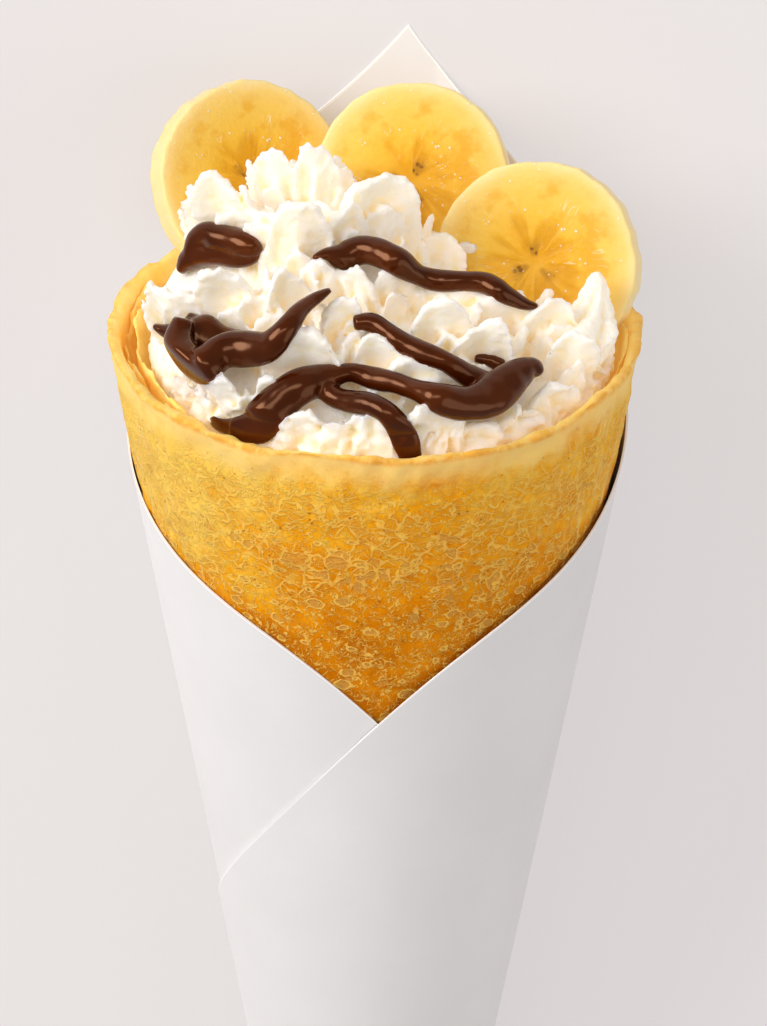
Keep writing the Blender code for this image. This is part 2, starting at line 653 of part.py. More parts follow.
def lobe(index, spec):
    """A thick, cupped and fluted lobe of cream with a ragged top."""
    across, up, width, height, turn = spec
    root = rooted_point(across, up, LOBE_RIM_ROOM + 0.25 * width)
    away = min(1.0, LOBE_SPREAD_REACH / max(1.0, math.hypot(root.x, root.y)))
    outward = Vector((root.x, root.y, 0.0)) * LOBE_SPREAD * away
    above = (Vector((0.0, 0.0, 1.0)) + outward).normalized()
    angle = math.radians(turn)
    facing = Vector((math.sin(angle), -math.cos(angle), LOBE_TILT))
    facing = (facing - above * facing.dot(above)).normalized()
    side = above.cross(facing)
    seed = index * 7.3
    line = np.linspace(-1.0, 1.0, LOBE_COLUMNS)
    places = np.stack([line, np.full_like(line, seed), np.zeros_like(line)], axis=1)
    fall, power = LOBE_SIDE_FALL
    broad = LOBE_UNEVEN[0] * ripple(places, 0.9, 1.0)
    fine = LOBE_UNEVEN[1] * ripple(places, 0.28, 2.0)
    flutes = 1.0 + LOBE_FLUTE * np.cos(line * (5.0 + index % 3) + seed)
    dome = 1.0 - fall * np.abs(line) ** power + broad
    grids = []
    for face in (-0.5, 0.5):
        grid = []
        for share in np.linspace(0.0, 1.0, LOBE_ROWS):
            reach = (height + LOBE_ROOT) * share * (dome + fine * share)
            spread = 0.5 * width * line * (0.70 + 0.30 * math.sin(2.2 * share))
            taper = 1.0 - LOBE_TAPER * share ** 1.5
            thick = LOBE_THICKNESS * width * taper * (1.0 - 0.5 * np.abs(line) ** 3) * flutes
            wave = LOBE_WAVE * width * share * np.sin(line * 3.4 + seed)
            cup = LOBE_CUP[0] * height * share ** 2 + LOBE_CUP[1] * width * line ** 2 * share
            offset = cup + wave + face * thick
            row = (np.array(root) + np.outer(spread, side) + np.outer(reach - LOBE_ROOT, above)
                   + np.outer(offset, facing))
            grid.append(row)
        grids.append(np.array(grid))
    return sheet_solid(grids[1], grids[0])


def piped_point(spec):
    """A piped point whose ridges run up to a hooked tip."""
    foot, tip, radius, ridges = spec
    foot = np.array(foot)
    axis = np.array(tip) - foot
    side = np.cross(axis, (0.0, 0.0, 1.0))
    side = side / np.linalg.norm(side)
    ahead = np.cross(side, axis)
    ahead = ahead / np.linalg.norm(ahead)
    turns = np.arange(POINT_COLUMNS) * 2.0 * math.pi / POINT_COLUMNS
    rings = []
    for share in np.linspace(0.0, 1.0, POINT_ROWS):
        ridge = np.abs(np.cos(0.5 * ridges * (turns + POINT_TWIST * share)))
        swell = (1.0 - share) ** 0.8 * (1.0 + POINT_BULGE[0] * math.sin(POINT_BULGE[1] * share))
        reach = radius * (0.05 + 0.95 * swell) * (POINT_RIDGE[0] + POINT_RIDGE[1] * ridge)
        sway = POINT_SWAY[0] * math.sin(POINT_SWAY[1] * share) * share
        middle = foot + axis * share + side * sway
        ring = middle + np.outer(np.cos(turns) * reach, side) + np.outer(np.sin(turns) * reach, ahead)
        rings.append(ring)
    return ring_solid(rings, tuple(foot), tuple(rings[-1].mean(axis=0)))


def smooth_path(points, step):
    """Places along a rounded line through the given points."""
    points = [np.array(point) for point in points]
    ends = [2 * points[0] - points[1]] + points + [2 * points[-1] - points[-2]]
    found = []
    for before, here, there, after in zip(ends, ends[1:], ends[2:], ends[3:]):
        count = max(1, round(float(np.linalg.norm((there - here)[:2])) / step))
        for part in range(count):
            t = part / count
            found.append(0.5 * (2 * here + (there - before) * t
                                + (2 * before - 5 * here + 4 * there - after) * t ** 2
                                + (3 * here - before - 3 * there + after) * t ** 3))
    found.append(points[-1])
    return found


def draped(surface, path, sides):
    """Distances along the sight lines: where the ribbon lies over the cream, and the cream's own."""
    nearest = []
    farthest = []
    for (across, up, half_width), side in zip(path, sides):
        distances = []
        for share in (-0.7, 0.0, 0.7):
            offset = side * (share * half_width)
            line = sight_line(across + offset[0], up + offset[1])
            hit = surface.ray_cast(SIGHT_POINT, line)[0] or mound_point(across, up)
            distances.append((hit - SIGHT_POINT).length)
        nearest.append(min(distances))
        farthest.append(max(distances))
    places = np.arange(len(path)) * SAUCE_STEP
    apart = np.abs(places[:, None] - places[None, :])
    level = np.min(np.array(nearest)[None, :] + SAUCE_SLOPE * apart, axis=1)
    ends = np.concatenate([level[:1], level, level[-1:]])
    return (ends[:-2] + 2.0 * level + ends[2:]) / 4.0, np.array(farthest)


def sauce_ribbon(ribbon, surface, number):
    """A rounded ribbon lying over the cream, rooted in it."""
    path = smooth_path(ribbon, SAUCE_STEP)
    places = np.array([point[:2] for point in path])
    runs = np.gradient(places, axis=0)
    runs = runs / np.linalg.norm(runs, axis=1)[:, None]
    sides = np.stack([-runs[:, 1], runs[:, 0]], axis=1)
    depths, cream_depths = draped(surface, path, sides)
    rings = []
    for index, (across, up, half_width) in enumerate(path):
        line = sight_line(across, up)
        side = SIGHT_ACROSS * sides[index][0] + SIGHT_UP * sides[index][1]
        swelling = 1.0 + SAUCE_UNEVEN * math.sin(index * 0.31 + number)
        reach = SAUCE_BREADTH * max(half_width, SAUCE_LEAST) * swelling
        rise = min(SAUCE_RISE[0] + SAUCE_RISE[1] * reach, SAUCE_MOST)
        root = max(cream_depths[index] - depths[index] + SAUCE_SINK, min(SAUCE_ROOT[0], 2.0 * reach))
        root = min(root, SAUCE_ROOT[1])
        lift = SAUCE_LIFTS.get(number, 0.0)
        centre = SIGHT_POINT + line * (depths[index] + SAUCE_CLEAR - lift)
        ring = []
        for corner in range(SAUCE_SIDES):
            turn = 2.0 * math.pi * corner / SAUCE_SIDES
            bulge = math.sin(turn) * (rise if math.sin(turn) > 0.0 else root + lift)
            offset = side * (math.cos(turn) * reach) - line * bulge
            ring.append(tuple(centre + offset))
        rings.append(np.array(ring))
    return ring_solid(rings, tuple(rings[0].mean(axis=0)), tuple(rings[-1].mean(axis=0)))


def make_filling(skin):
    """Whipped cream with the chocolate sauce that lies on it, clear of crepe and banana."""
    shapes = [filling_core()]
    shapes += [lobe(index, spec) for index, spec in enumerate(CREAM_LOBES)]
    shapes += [piped_point(spec) for spec in CREAM_POINTS]
    points = [Vector(point) for shape in shapes for point in shape[0]]
    faces = []
    start = 0
    for shape_points, shape_faces in shapes:
        faces += [tuple(start + corner for corner in face) for face in shape_faces]
        start += len(shape_points)
    surface = BVHTree.FromPolygons(points, faces)
    shapes += [sauce_ribbon(ribbon, surface, number) for number, ribbon in enumerate(SAUCE_RIBBONS)]
    core = new_object("whipped_cream", *shapes[0], skin)
    extras = [new_object("extra", *shape, skin) for shape in shapes[1:]]
    fuse(core, extras, solver="MANIFOLD")
    simplify(core, FILLING_TRIANGLES)
    fuse(core, [new_object("envelope", *filling_envelope(), skin)], "INTERSECT", "MANIFOLD")
    cutters = []
    for spec in BANANA_SLICES.values():
        cutters.append(new_object("cutter", *banana_slice(spec, grow=FILLING_GAP), skin))
    fuse(core, cutters, "DIFFERENCE", "MANIFOLD")
    smooth(core, 60.0)
    return core


def main():
    """Build the six pieces."""
    clear_scene()
    skins = {name: material(name) for name in MATERIALS}
    make_paper(skins["paper"])
    make_crepe(skins["crepe"])
    make_filling(skins["cream"])
    for name in BANANA_SLICES:
        make_slice(name, skins["banana"])


main()
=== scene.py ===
"""Looks of a banana crepe in a paper cone, lying on its back on a pale floor.

Shapes are worked out standing up, in millimetres: the cone's point is at the origin, its axis
is +Z and its front is -Y. A turn is an angle round the axis in degrees, 0 at the front and
growing to the right as seen from the front. lay_down() puts them into the frame.
"""

import math

import bmesh
import bpy
import numpy as np
from mathutils import Matrix, Vector, noise
from mathutils.bvhtree import BVHTree


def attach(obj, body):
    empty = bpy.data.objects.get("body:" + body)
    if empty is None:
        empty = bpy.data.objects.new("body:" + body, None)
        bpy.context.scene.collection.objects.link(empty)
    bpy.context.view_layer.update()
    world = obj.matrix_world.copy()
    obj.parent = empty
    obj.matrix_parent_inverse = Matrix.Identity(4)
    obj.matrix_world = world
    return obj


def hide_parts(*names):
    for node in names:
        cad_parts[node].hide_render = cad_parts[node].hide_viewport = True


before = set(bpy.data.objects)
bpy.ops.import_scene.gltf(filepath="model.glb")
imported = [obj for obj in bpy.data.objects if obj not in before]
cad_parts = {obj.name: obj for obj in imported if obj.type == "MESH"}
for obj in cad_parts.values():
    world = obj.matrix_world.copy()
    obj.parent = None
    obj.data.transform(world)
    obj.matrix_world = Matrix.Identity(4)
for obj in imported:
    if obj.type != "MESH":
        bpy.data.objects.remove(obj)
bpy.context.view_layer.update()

MM = 0.001
RIPPLE_ROUGHNESS = 0.9
RIPPLE_FINER = 2.1
RIPPLE_SHIFT = 17.13

# The wrapped cone. Its back is pressed flat for this half turn in degrees. The plane's distance is
# worked out up to the most angle, in radians; the round part is always nearer past it.
CONE_SLOPE = 0.17
MOUTH_HEIGHT = 241.0
FLAT_HALF_TURN = 12.0
FLAT_MOST_ANGLE = 1.2
CONE_ANGLE = math.atan(CONE_SLOPE)
FLAT_SLOPE = CONE_SLOPE * math.cos(math.radians(FLAT_HALF_TURN))
FLAT_ANGLE = math.atan(FLAT_SLOPE)

# The paper: lengths from the cone's point in mm, wraps in degrees from the middle of the back.
# A fall is the slope of an upper edge and its bow. The lap gives wraps, and how many steps of a
# layer out the sheet lies there.
PAPER_THICKNESS = 0.3
PAPER_INNER_OFFSET = -0.15
PAPER_LAYER_STEP = 0.55
PAPER_TIP = 10.0
PAPER_CORNER = 275.0
PAPER_CORNER_WRAP = 6.2
PAPER_RIGHT_FALL = (0.925, 5.0)
PAPER_LEFT_FALL = (0.85, 2.7)
PAPER_CORNER_BLEND = 8.0
PAPER_LEFT_SIDE = 100.5
PAPER_RIGHT_SIDE = 99.3
PAPER_CORNER_ROUNDNESS = 16.0
PAPER_FIRST_WRAP = -220.0
PAPER_LAST_WRAP = 300.0
PAPER_WRAP_STEP = 1.0
PAPER_ROWS = 48
PAPER_FACE_END = 0.998
PAPER_CUT_ROWS = (0.9985, 1.0)
PAPER_SHARP = math.radians(40.0)
PAPER_LAP = ((-60.0, -15.0, 15.0, 60.0), (0.0, 0.5, 0.5, 1.0))
PAPER_EDGE_ROUNDS = 4
PAPER_LEAST_SPREAD = 0.05

# The crepe. Rim waves: height, waves round the rim and their shift; other waves: height, size
# and seed. Inner layers: name, first and last turn, how far in their top stands, and its height.
CREPE_OFFSET = -0.45
CREPE_BOTTOM = 40.0
CREPE_FLOOR = 205.0
CREPE_LIP = 1.8
CREPE_FLOOR_WALL = 7.0
CREPE_LIP_DEPTH = 9.0
CREPE_COLUMNS = 480
CREPE_RIM_FOOT = 237.0
CREPE_RIM_ROUND = 0.9
CREPE_PLAIN_TOP = 160.0
RIM_RADIUS = 41.0
RIM_WAVES = ((0.45, 5.0, 0.6), (0.30, 11.0, 2.0))
RAGGED_WAVES = ((0.35, 5.0, 3.0), (0.14, 1.6, 4.0))
CREPE_WAVES = ((0.25, 9.0, 1.0), (0.20, 2.6, 2.0))
LOOSE_WAVES = ((0.55, 7.0, 12.0), (0.25, 3.0, 13.0))
LEAF_THICKNESS = 1.0
LEAF_FOOT = 214.0
LEAF_FOOT_INSET = 1.45
LEAF_BEND = 234.0
LEAF_COLUMNS = 150
LEAF_ROWS = 34
LEAF_END_DROP = 2.5
LEAF_WAVE = 0.5
LEAF_RAGGED = 2.2
CREPE_LEAVES = (
    ("strand", -128.0, -34.0, 4.2, 240.5),
    ("tongue", -94.0, -40.0, 2.7, 239.6),
    ("lobe", -124.0, -96.0, 2.6, 240.4),
    ("scrap", 58.0, 124.0, 2.5, 241.2),
)

# The filling. Hills: middle across and back, rise, and breadth across and back
FILLING_GAP = 0.35
FILLING_HILLS = (
    (-6.0, 3.0, 13.0, 24.0, 21.0),
    (-10.5, 9.0, 12.0, 10.0, 8.0),
)
HILL_RIGHT = 0.74
FILLING_EDGE = 239.0
FILLING_FLARE = 0.5
CREAM_VOXEL = 0.4
EASE = 1.6
WALL_DENTS = 2.8
CORE_COLUMNS = 180
CORE_BUMPS = 1.1
CORE_SHOULDER = 0.2

# The view that the arrangement faces
SIGHT_PITCH = math.radians(29.77)
SIGHT_ROLL = math.radians(0.349)
SIGHT_REACH = 45.0
SIGHT_STEP = 0.4
SIGHT_POINT = Vector((1.48, -805.6, 669.9))
SIGHT_LENS = 210.5
SENSOR_WIDTH = 36.0
MOUTH_CENTRE = Vector((0.0, 0.0, MOUTH_HEIGHT))
SIGHT_ACROSS = Vector((1.0, 0.0, 0.0))
SIGHT_UP = Vector((0.0, math.sin(SIGHT_PITCH), math.cos(SIGHT_PITCH)))
SIGHT_AHEAD = Vector((0.0, math.cos(SIGHT_PITCH), -math.sin(SIGHT_PITCH)))

# Banana slices: across, up, distance behind the axis, radius, turn to the right
SLICE_THICKNESS = 5.4
SLICE_LEAN = 28.0
SLICE_SIDES = 180
SLICE_BEVEL = 0.5
BANANA_SLICES = {
    "banana_slice_left": (-18.4, 22.9, 24.5, 15.4, 26.0),
    "banana_slice_middle": (5.4, 22.9, 21.5, 15.2, -8.0),
    "banana_slice_right": (24.2, 10.4, 5.0, 15.7, -14.0),
}

# Lobes of whipped cream: across and up of the root, width, height, turn of the face
CREAM_LOBES = (
    (-14.6, 20.6, 7.0, 8.2, -10.0),
    (-9.1, 21.4, 7.0, 7.8, 15.0),
    (-5.4, 20.2, 4.6, 5.7, 30.0),
    (-0.3, 14.7, 13.7, 11.0, 20.0),
    (-21.6, 14.1, 9.4, 11.6, -25.0),
    (-25.5, 14.4, 5.5, 7.4, -50.0),
    (-17.0, 13.8, 5.2, 9.8, -60.0),
    (-10.9, 10.2, 10.3, 11.2, 5.0),
    (-16.1, 10.2, 7.6, 7.4, -20.0),
    (-4.4, 12.3, 6.7, 8.1, 25.0),
    (3.7, 12.0, 6.7, 6.7, 30.0),
    (10.1, 10.5, 7.9, 4.9, 0.0),
    (13.6, 10.0, 6.1, 3.9, 15.0),
    (-30.2, 0.6, 6.4, 8.8, -35.0),
    (-27.6, -0.2, 7.6, 9.1, -30.0),
    (-20.9, 0.7, 10.6, 11.6, -15.0),
    (-17.0, -0.2, 9.1, 7.0, 0.0),
    (-13.3, 1.3, 7.6, 10.2, 20.0),
    (-8.5, 4.7, 7.0, 7.7, 10.0),
    (-2.1, 3.9, 6.7, 7.7, -25.0),
    (2.2, 3.9, 7.6, 8.4, 25.0),
    (-4.4, -2.2, 7.0, 10.5, -10.0),
    (-10.5, -7.5, 12.2, 11.2, -5.0),
    (-6.4, -3.2, 6.4, 7.7, 20.0),
    (0.6, -6.6, 8.8, 8.4, 5.0),
    (8.8, -3.2, 9.7, 11.2, 15.0),
    (12.3, 1.3, 9.4, 8.1, 5.0),
    (18.0, -0.9, 10.9, 9.5, 10.0),
    (24.5, -2.5, 9.1, 9.8, 15.0),
    (15.4, -6.0, 10.3, 10.2, 5.0),
    (5.8, -9.0, 13.4, 7.4, 10.0),
    (29.1, -6.6, 8.8, 9.0, 10.0),
    (26.0, -14.6, 10.3, 10.2, 25.0),
    (21.5, -17.2, 9.4, 7.4, 10.0),
    (15.8, -18.4, 8.8, 6.7, 0.0),
    (7.0, -19.2, 10.9, 12.6, 25.0),
    (0.3, -17.7, 6.1, 7.7, -10.0),
    (-15.5, -11.1, 5.8, 6.0, 10.0),
    (-21.9, -15.7, 7.9, 13.0, -10.0),
    (-27.9, -14.6, 8.5, 9.5, -35.0),
    (-4.8, -19.2, 7.0, 8.1, -5.0),
    (-10.3, -18.7, 9.1, 9.1, -15.0),
)
# Small lobes: how far aside and up of the large one, as shares of its size, and their swing
SMALL_SCALE = 0.62
SMALL_INDEX = 100
SMALL_LOBES = ((-0.42, 0.05, -50.0), (0.42, 0.10, 50.0), (0.05, -0.20, 10.0))
# Lobes over the far side: distance of each row from the axis, and how many it has
BACK_ROWS = ((17.0, 6), (25.0, 8))
BACK_MIDDLE = -4.0
BACK_SPREAD = 56.0
BACK_SIZE = 6.0
BACK_SINK = 1.5
BACK_HEIGHT = 0.65
BACK_SWING = 40.0
BACK_ROW_TURN = 9.0
BACK_INDEX = 400
# The shape of a lobe, as shares of its width or height where not in mm
LOBE_COLUMNS = 40
LOBE_ROWS = 16
LOBE_ROOT = 3.0
LOBE_THICKNESS = 0.36
LOBE_TAPER = 0.60
LOBE_SIDE_FALL = (0.36, 3.4)
LOBE_UNEVEN = (0.13, 0.05)
LOBE_FLUTE = 0.20
LOBE_WAVE = 0.06
LOBE_CUP = (0.16, 0.10)
LOBE_TILT = 0.25
LOBE_SPREAD = 0.011
LOBE_SPREAD_REACH = 25.0
LOBE_RIM_ROOM = 3.0

# Piped points: middle of the foot, tip, radius of the foot, ridges
CREAM_POINTS = (
    ((30.5, -12.0, 241.0), (33.4, -2.0, 252.5), 7.8, 8),
)
POINT_COLUMNS = 120
POINT_ROWS = 40
POINT_RIDGE = (0.72, 0.36)
POINT_TWIST = 0.7
POINT_BULGE = (0.25, 7.0)
POINT_SWAY = (0.9, 3.0)

# Ribbons of chocolate sauce: points across, up and half width
SAUCE_RIBBONS = (
    ((-28.6, 11.4, 0.6), (-27.6, 13.4, 1.1), (-26.0, 14.5, 1.6), (-23.6, 14.1, 1.9),
     (-20.9, 13.4, 1.9), (-18.6, 12.6, 1.4), (-17.2, 12.2, 0.4)),
    ((-29.8, 8.8, 0.5), (-28.6, 10.4, 1.3), (-26.6, 11.6, 1.8), (-23.8, 11.7, 1.8),
     (-21.2, 11.3, 1.6), (-19.0, 11.2, 1.2), (-17.6, 11.5, 0.5)),
    ((-9.4, 10.9, 0.3), (-7.4, 11.7, 0.8), (-5.0, 11.2, 2.0), (-2.1, 12.3, 1.8), (0.9, 11.7, 1.8),
     (3.7, 10.3, 2.0), (6.3, 8.6, 1.4), (9.3, 7.7, 1.4), (13.1, 7.6, 1.4), (16.9, 7.3, 1.4),
     (19.9, 5.6, 1.2), (23.0, 4.1, 0.8), (24.8, 3.9, 0.3)),
    ((-33.7, 0.6, 0.3), (-32.2, -0.1, 0.8), (-30.4, -0.5, 1.4), (-28.4, -1.2, 1.9)),
    ((-29.1, 1.6, 1.4), (-29.9, -2.0, 2.0), (-28.2, -5.7, 2.4), (-25.8, -5.3, 2.6),
     (-23.1, -3.2, 2.3), (-19.4, -2.9, 2.3), (-16.1, -2.5, 2.1), (-13.6, 0.1, 1.5),
     (-11.4, 3.0, 1.1), (-9.1, 4.8, 0.8), (-6.8, 6.2, 0.3)),
    ((-28.8, 1.6, 1.1), (-25.8, 0.3, 1.2), (-22.5, -0.9, 1.1), (-19.1, -1.6, 1.2)),
    ((-28.6, -0.4, 2.0), (-26.6, -1.0, 2.9), (-24.2, -1.7, 2.6), (-21.0, -1.9, 1.4)),
    ((-3.2, 1.2, 0.9), (-0.6, 1.3, 1.2), (1.7, 0.1, 1.2), (4.0, -1.7, 1.4), (7.0, -3.2, 1.4),
     (10.8, -4.7, 1.4), (14.0, -6.6, 1.5), (16.4, -7.8, 1.5)),
    ((15.2, -4.1, 0.5), (17.4, -4.3, 0.8), (19.5, -5.3, 1.1)),
    ((-25.3, -13.7, 0.3), (-23.7, -14.6, 0.9), (-20.9, -15.1, 1.7), (-18.2, -14.8, 2.3),
     (-16.1, -12.6, 2.7), (-14.1, -10.5, 2.7), (-11.8, -8.8, 2.4), (-9.4, -7.8, 2.1),
     (-6.7, -7.0, 1.7), (-3.6, -6.4, 1.2), (-0.3, -7.2, 1.4), (2.8, -7.8, 1.4), (5.8, -8.8, 1.4),
     (8.5, -9.8, 1.7), (11.3, -10.7, 2.1), (14.3, -11.0, 2.4), (17.4, -10.1, 2.6),
     (20.1, -7.9, 2.4), (22.4, -6.1, 2.0), (24.2, -5.5, 1.4), (25.4, -6.3, 0.5)),
    ((-8.5, -8.4, 1.4), (-6.0, -10.1, 1.4), (-3.6, -10.8, 1.4), (-0.9, -11.1, 1.4),
     (1.7, -12.3, 1.5), (3.5, -14.3, 1.7), (4.7, -16.6, 1.7), (5.5, -18.9, 1.5), (5.8, -20.5, 1.4)),
)
# The rise is a length and a share of the half width, and the root's two values are its limits
SAUCE_BREADTH = 1.12
SAUCE_RISE = (0.3, 0.80)
SAUCE_MOST = 2.2
SAUCE_LIFTS = {6: 2.2}
SAUCE_ROOT = (2.5, 6.0)
SAUCE_SINK = 0.6
SAUCE_LEAST = 0.2
SAUCE_UNEVEN = 0.06
SAUCE_CLEAR = 0.15
SAUCE_SLOPE = 0.7
SAUCE_STEP = 0.5
SAUCE_SIDES = 20
SAUCE_VOXEL = 0.28
SAUCE_OVER_CREAM = 0.3
SAUCE_SMOOTHING = 8
SAUCE_BUMPS = 0.10
SAUCE_THIN = 0.35
DRAPE_PROBES = (-0.7, 0.0, 0.7)
DRAPE_ROUNDS = 16

# Colours, as linear red, green and blue
PAPER_TONES = ((0.3, (0.81, 0.80, 0.80)), (0.7, (0.845, 0.835, 0.835)))
# Painted highlight: the paper's cut edge is coloured brighter, as if lit
PAPER_CUT_HIGHLIGHT = (0.97, 0.965, 0.96)
CREPE_TONES = ((0.0, (1.0, 0.60, 0.09)), (0.28, (0.97, 0.425, 0.010)),
               (0.60, (0.83, 0.275, 0.0009)), (1.0, (0.56, 0.155, 0.0004)))
# Painted light: paler colours for the crepe's inner faces, which lie in shade
CREPE_INSIDE_PAINTED_LIGHT = ((0.3, (1.0, 0.62, 0.12)), (0.7, (1.0, 0.78, 0.30)))
CREPE_STRETCHED = (0.98, 0.66, 0.22)
CREPE_SHADE = (0.62, 0.20, 0.001)
CREPE_THIN = (0.68, 0.34, 0.07)
CREPE_PALE = (0.98, 0.60, 0.12)
CREPE_PIT = (0.44, 0.12, 0.001)
CREPE_BAND = (1.0, 0.67, 0.22)
CREPE_BLUSH = (0.80, 0.33, 0.02)
# Painted shade: the cream turns warmer towards its hollows
CREAM_TONES_AND_HOLLOW_SHADE = ((0.0, (0.95, 0.875, 0.785)), (0.4, (0.96, 0.84, 0.65)), (1.0, (0.96, 0.76, 0.40)))
CHOCOLATE_TONES = ((0.35, (0.036, 0.0045, 0.0003)), (0.7, (0.066, 0.011, 0.0008)))
CHOCOLATE_THIN = (0.20, 0.030, 0.002)
BANANA_TONES = ((0.0, (0.78, 0.42, 0.03)), (0.20, (0.80, 0.43, 0.025)), (0.45, (0.84, 0.51, 0.05)),
                (0.74, (0.86, 0.58, 0.11)), (0.88, (0.88, 0.63, 0.18)), (0.98, (0.90, 0.71, 0.33)))
BANANA_CLOUD = (0.76, 0.36, 0.007)
BANANA_RAY = (0.66, 0.30, 0.003)
BANANA_FIBRE = (1.0, 0.83, 0.48)
BANANA_MARK = (0.42, 0.19, 0.015)
BANANA_SEED = (0.17, 0.06, 0.01)
# Painted highlight: pale glints on the wet specks
BANANA_BEAD_GLINT = (1.0, 0.93, 0.74)

# Nets on the crepe's skin: scale of the cells, turn, where they start and strength
CREPE_NETS = (
    ((0.34, 0.56, 1.0), 0.40, 0.85, 0.85),
    ((0.62, 0.95, 1.0), -0.3, 1.00, 0.45),
)

# Stage: name, place, size, watts and colour of each light, in metres
LIGHT_TARGET = (0.0, 0.08, 0.04)
LIGHTS = (
    ("key", (-0.92, 0.62, 0.68), (0.8, 0.8), 11.6, (1.0, 0.985, 0.975)),
    ("front", (-0.15, 0.75, 1.2), (1.3, 0.4), 4.6, (1.0, 1.0, 1.0)),
    ("fill", (0.85, -0.1, 0.75), (1.0, 1.0), 3.2, (1.0, 1.0, 1.0)),
)
WORLD_COLOUR = (1.0, 0.955, 0.935, 1.0)
WORLD_STRENGTH = 0.36
FLOOR_REACH = 3.0
CAMERA_CLIP = 20.0


def lay_down(points):
    """From standing up in millimetres to lying on the flat back in metres."""
    points = np.asarray(points, float)
    lean_sin = math.sin(FLAT_ANGLE)
    lean_cos = math.cos(FLAT_ANGLE)
    along = lean_sin * points[..., 1] + lean_cos * points[..., 2]
    above = lean_sin * points[..., 2] - lean_cos * points[..., 1]
    middle = (PAPER_TIP + PAPER_CORNER) / 2.0
    back_face = paper_offset(0.0) + PAPER_THICKNESS
    laid = np.stack([points[..., 0], along - middle, above + back_face], axis=-1)
    return laid * MM


def lay_direction(direction):
    """A direction of the standing frame, in the lying frame."""
    origin = lay_down((0.0, 0.0, 0.0))
    return Vector((lay_down(tuple(direction)) - origin) / MM)


def wrapped(turn):
    """The same turn between -180 and 180."""
    return (np.asarray(turn, float) + 180.0) % 360.0 - 180.0


def cone_radius(height, turn, offset=0.0):
    """The cone's radius; the offset is square to its side, outward."""
    from_back = np.radians(180.0 - np.abs(wrapped(turn)))
    round_part = CONE_SLOPE * height + offset / math.cos(CONE_ANGLE)
    flat_part = FLAT_SLOPE * height + offset / math.cos(FLAT_ANGLE)
    flat_part = flat_part / np.cos(np.minimum(from_back, FLAT_MOST_ANGLE))
    return np.minimum(round_part, flat_part)


def at_turn(radius, turn, height):
    """Points at a radius, a turn and a height."""
    angle = np.radians(turn)
    radius, angle, height = np.broadcast_arrays(radius, angle, height)
    return np.stack([radius * np.sin(angle), -radius * np.cos(angle), height], axis=-1)


def ripple(points, scale, seed, octaves=2):
    """Smooth noise between about -1 and 1 at each point; scale is the size of its waves in mm."""
    flat = np.asarray(points, float).reshape(-1, 3) / scale
    offset = seed * RIPPLE_SHIFT
    values = [noise.fractal(Vector((x + offset, y, z - offset)), RIPPLE_ROUGHNESS, RIPPLE_FINER,
                            octaves, noise_basis="PERLIN_ORIGINAL") for x, y, z in flat]
    return np.array(values).reshape(np.asarray(points).shape[:-1])


def ripples(points, waves):
    """Several such waves together: the height, size and seed of each."""
    return sum(height * ripple(points, scale, seed) for height, scale, seed in waves)


def quads(rows, columns, start=0, closed=False):
    """Four-sided faces over a grid of points."""
    faces = []
    last = columns if closed else columns - 1
    for row in range(rows - 1):
        for column in range(last):
            beside = (column + 1) % columns
            low = start + row * columns
            high = low + columns
            faces.append((low + column, low + beside, high + beside, high + column))
    return faces


def sheet_solid(front, back):
    """A closed sheet between a front and a back grid."""
    rows, columns = front.shape[:2]
    count = rows * columns
    points = np.concatenate([front.reshape(-1, 3), back.reshape(-1, 3)])
    faces = quads(rows, columns)
    faces += [tuple(reversed(face)) for face in quads(rows, columns, start=count)]
    border = [(0, column) for column in range(columns)]
    border += [(row, columns - 1) for row in range(1, rows)]
    border += [(rows - 1, column) for column in range(columns - 2, -1, -1)]
    border += [(row, 0) for row in range(rows - 2, 0, -1)]
    ids = [row * columns + column for row, column in border]
    for here, there in zip(ids, ids[1:] + ids[:1]):
        faces.append((here, here + count, there + count, there))
    return points, faces


def ring_solid(rings, first_centre, last_centre):
    """A closed solid of rings, each end drawn in to its centre."""
    columns = len(rings[0])
    points = np.concatenate(list(rings) + [[first_centre], [last_centre]])
    faces = quads(len(rings), columns, closed=True)
    first_id = len(rings) * columns
    last_id = first_id + 1
    top = (len(rings) - 1) * columns
    for column in range(columns):
        beside = (column + 1) % columns
        faces.append((first_id, beside, column))
        faces.append((last_id, top + column, top + beside))
    return points, faces


def joined(shapes):
    """Several shapes as one."""
    points = []
    faces = []
    start = 0
    for shape_points, shape_faces in shapes:
        points.append(np.asarray(shape_points, float))
        faces += [tuple(start + corner for corner in face) for face in shape_faces]
        start += len(shape_points)
    return np.concatenate(points), faces


def new_mesh(name, points, faces):
    """A mesh with its faces outward, still standing up in millimetres."""
    mesh = bpy.data.meshes.new(name)
    mesh.from_pydata(np.asarray(points).tolist(), [], faces)
    shaped = bmesh.new()
    shaped.from_mesh(mesh)
    bmesh.ops.recalc_face_normals(shaped, faces=shaped.faces)
    shaped.to_mesh(mesh)
    shaped.free()
    return mesh


def coordinates(mesh):
    """A mesh's points."""
    values = np.empty(len(mesh.vertices) * 3)
    mesh.vertices.foreach_get("co", values)
    return values.reshape(-1, 3)


def set_coordinates(mesh, points):
    """Move all the points of a mesh."""
    mesh.vertices.foreach_set("co", np.asarray(points, float).ravel())
    mesh.update()


def normals(mesh):
    """The outward direction at each point."""
    values = np.empty(len(mesh.vertices) * 3)
    mesh.vertex_normals.foreach_get("vector", values)
    return values.reshape(-1, 3)


def put_number(mesh, name, values):
    """A number at each point, for the materials to read."""
    layer = mesh.attributes.new(name, "FLOAT", "POINT")
    layer.data.foreach_set("value", np.asarray(values, float).ravel())


def put_vector(mesh, name, values):
    """A vector at each point, for the materials to read."""
    layer = mesh.attributes.new(name, "FLOAT_VECTOR", "POINT")
    layer.data.foreach_set("vector", np.asarray(values, float).ravel())


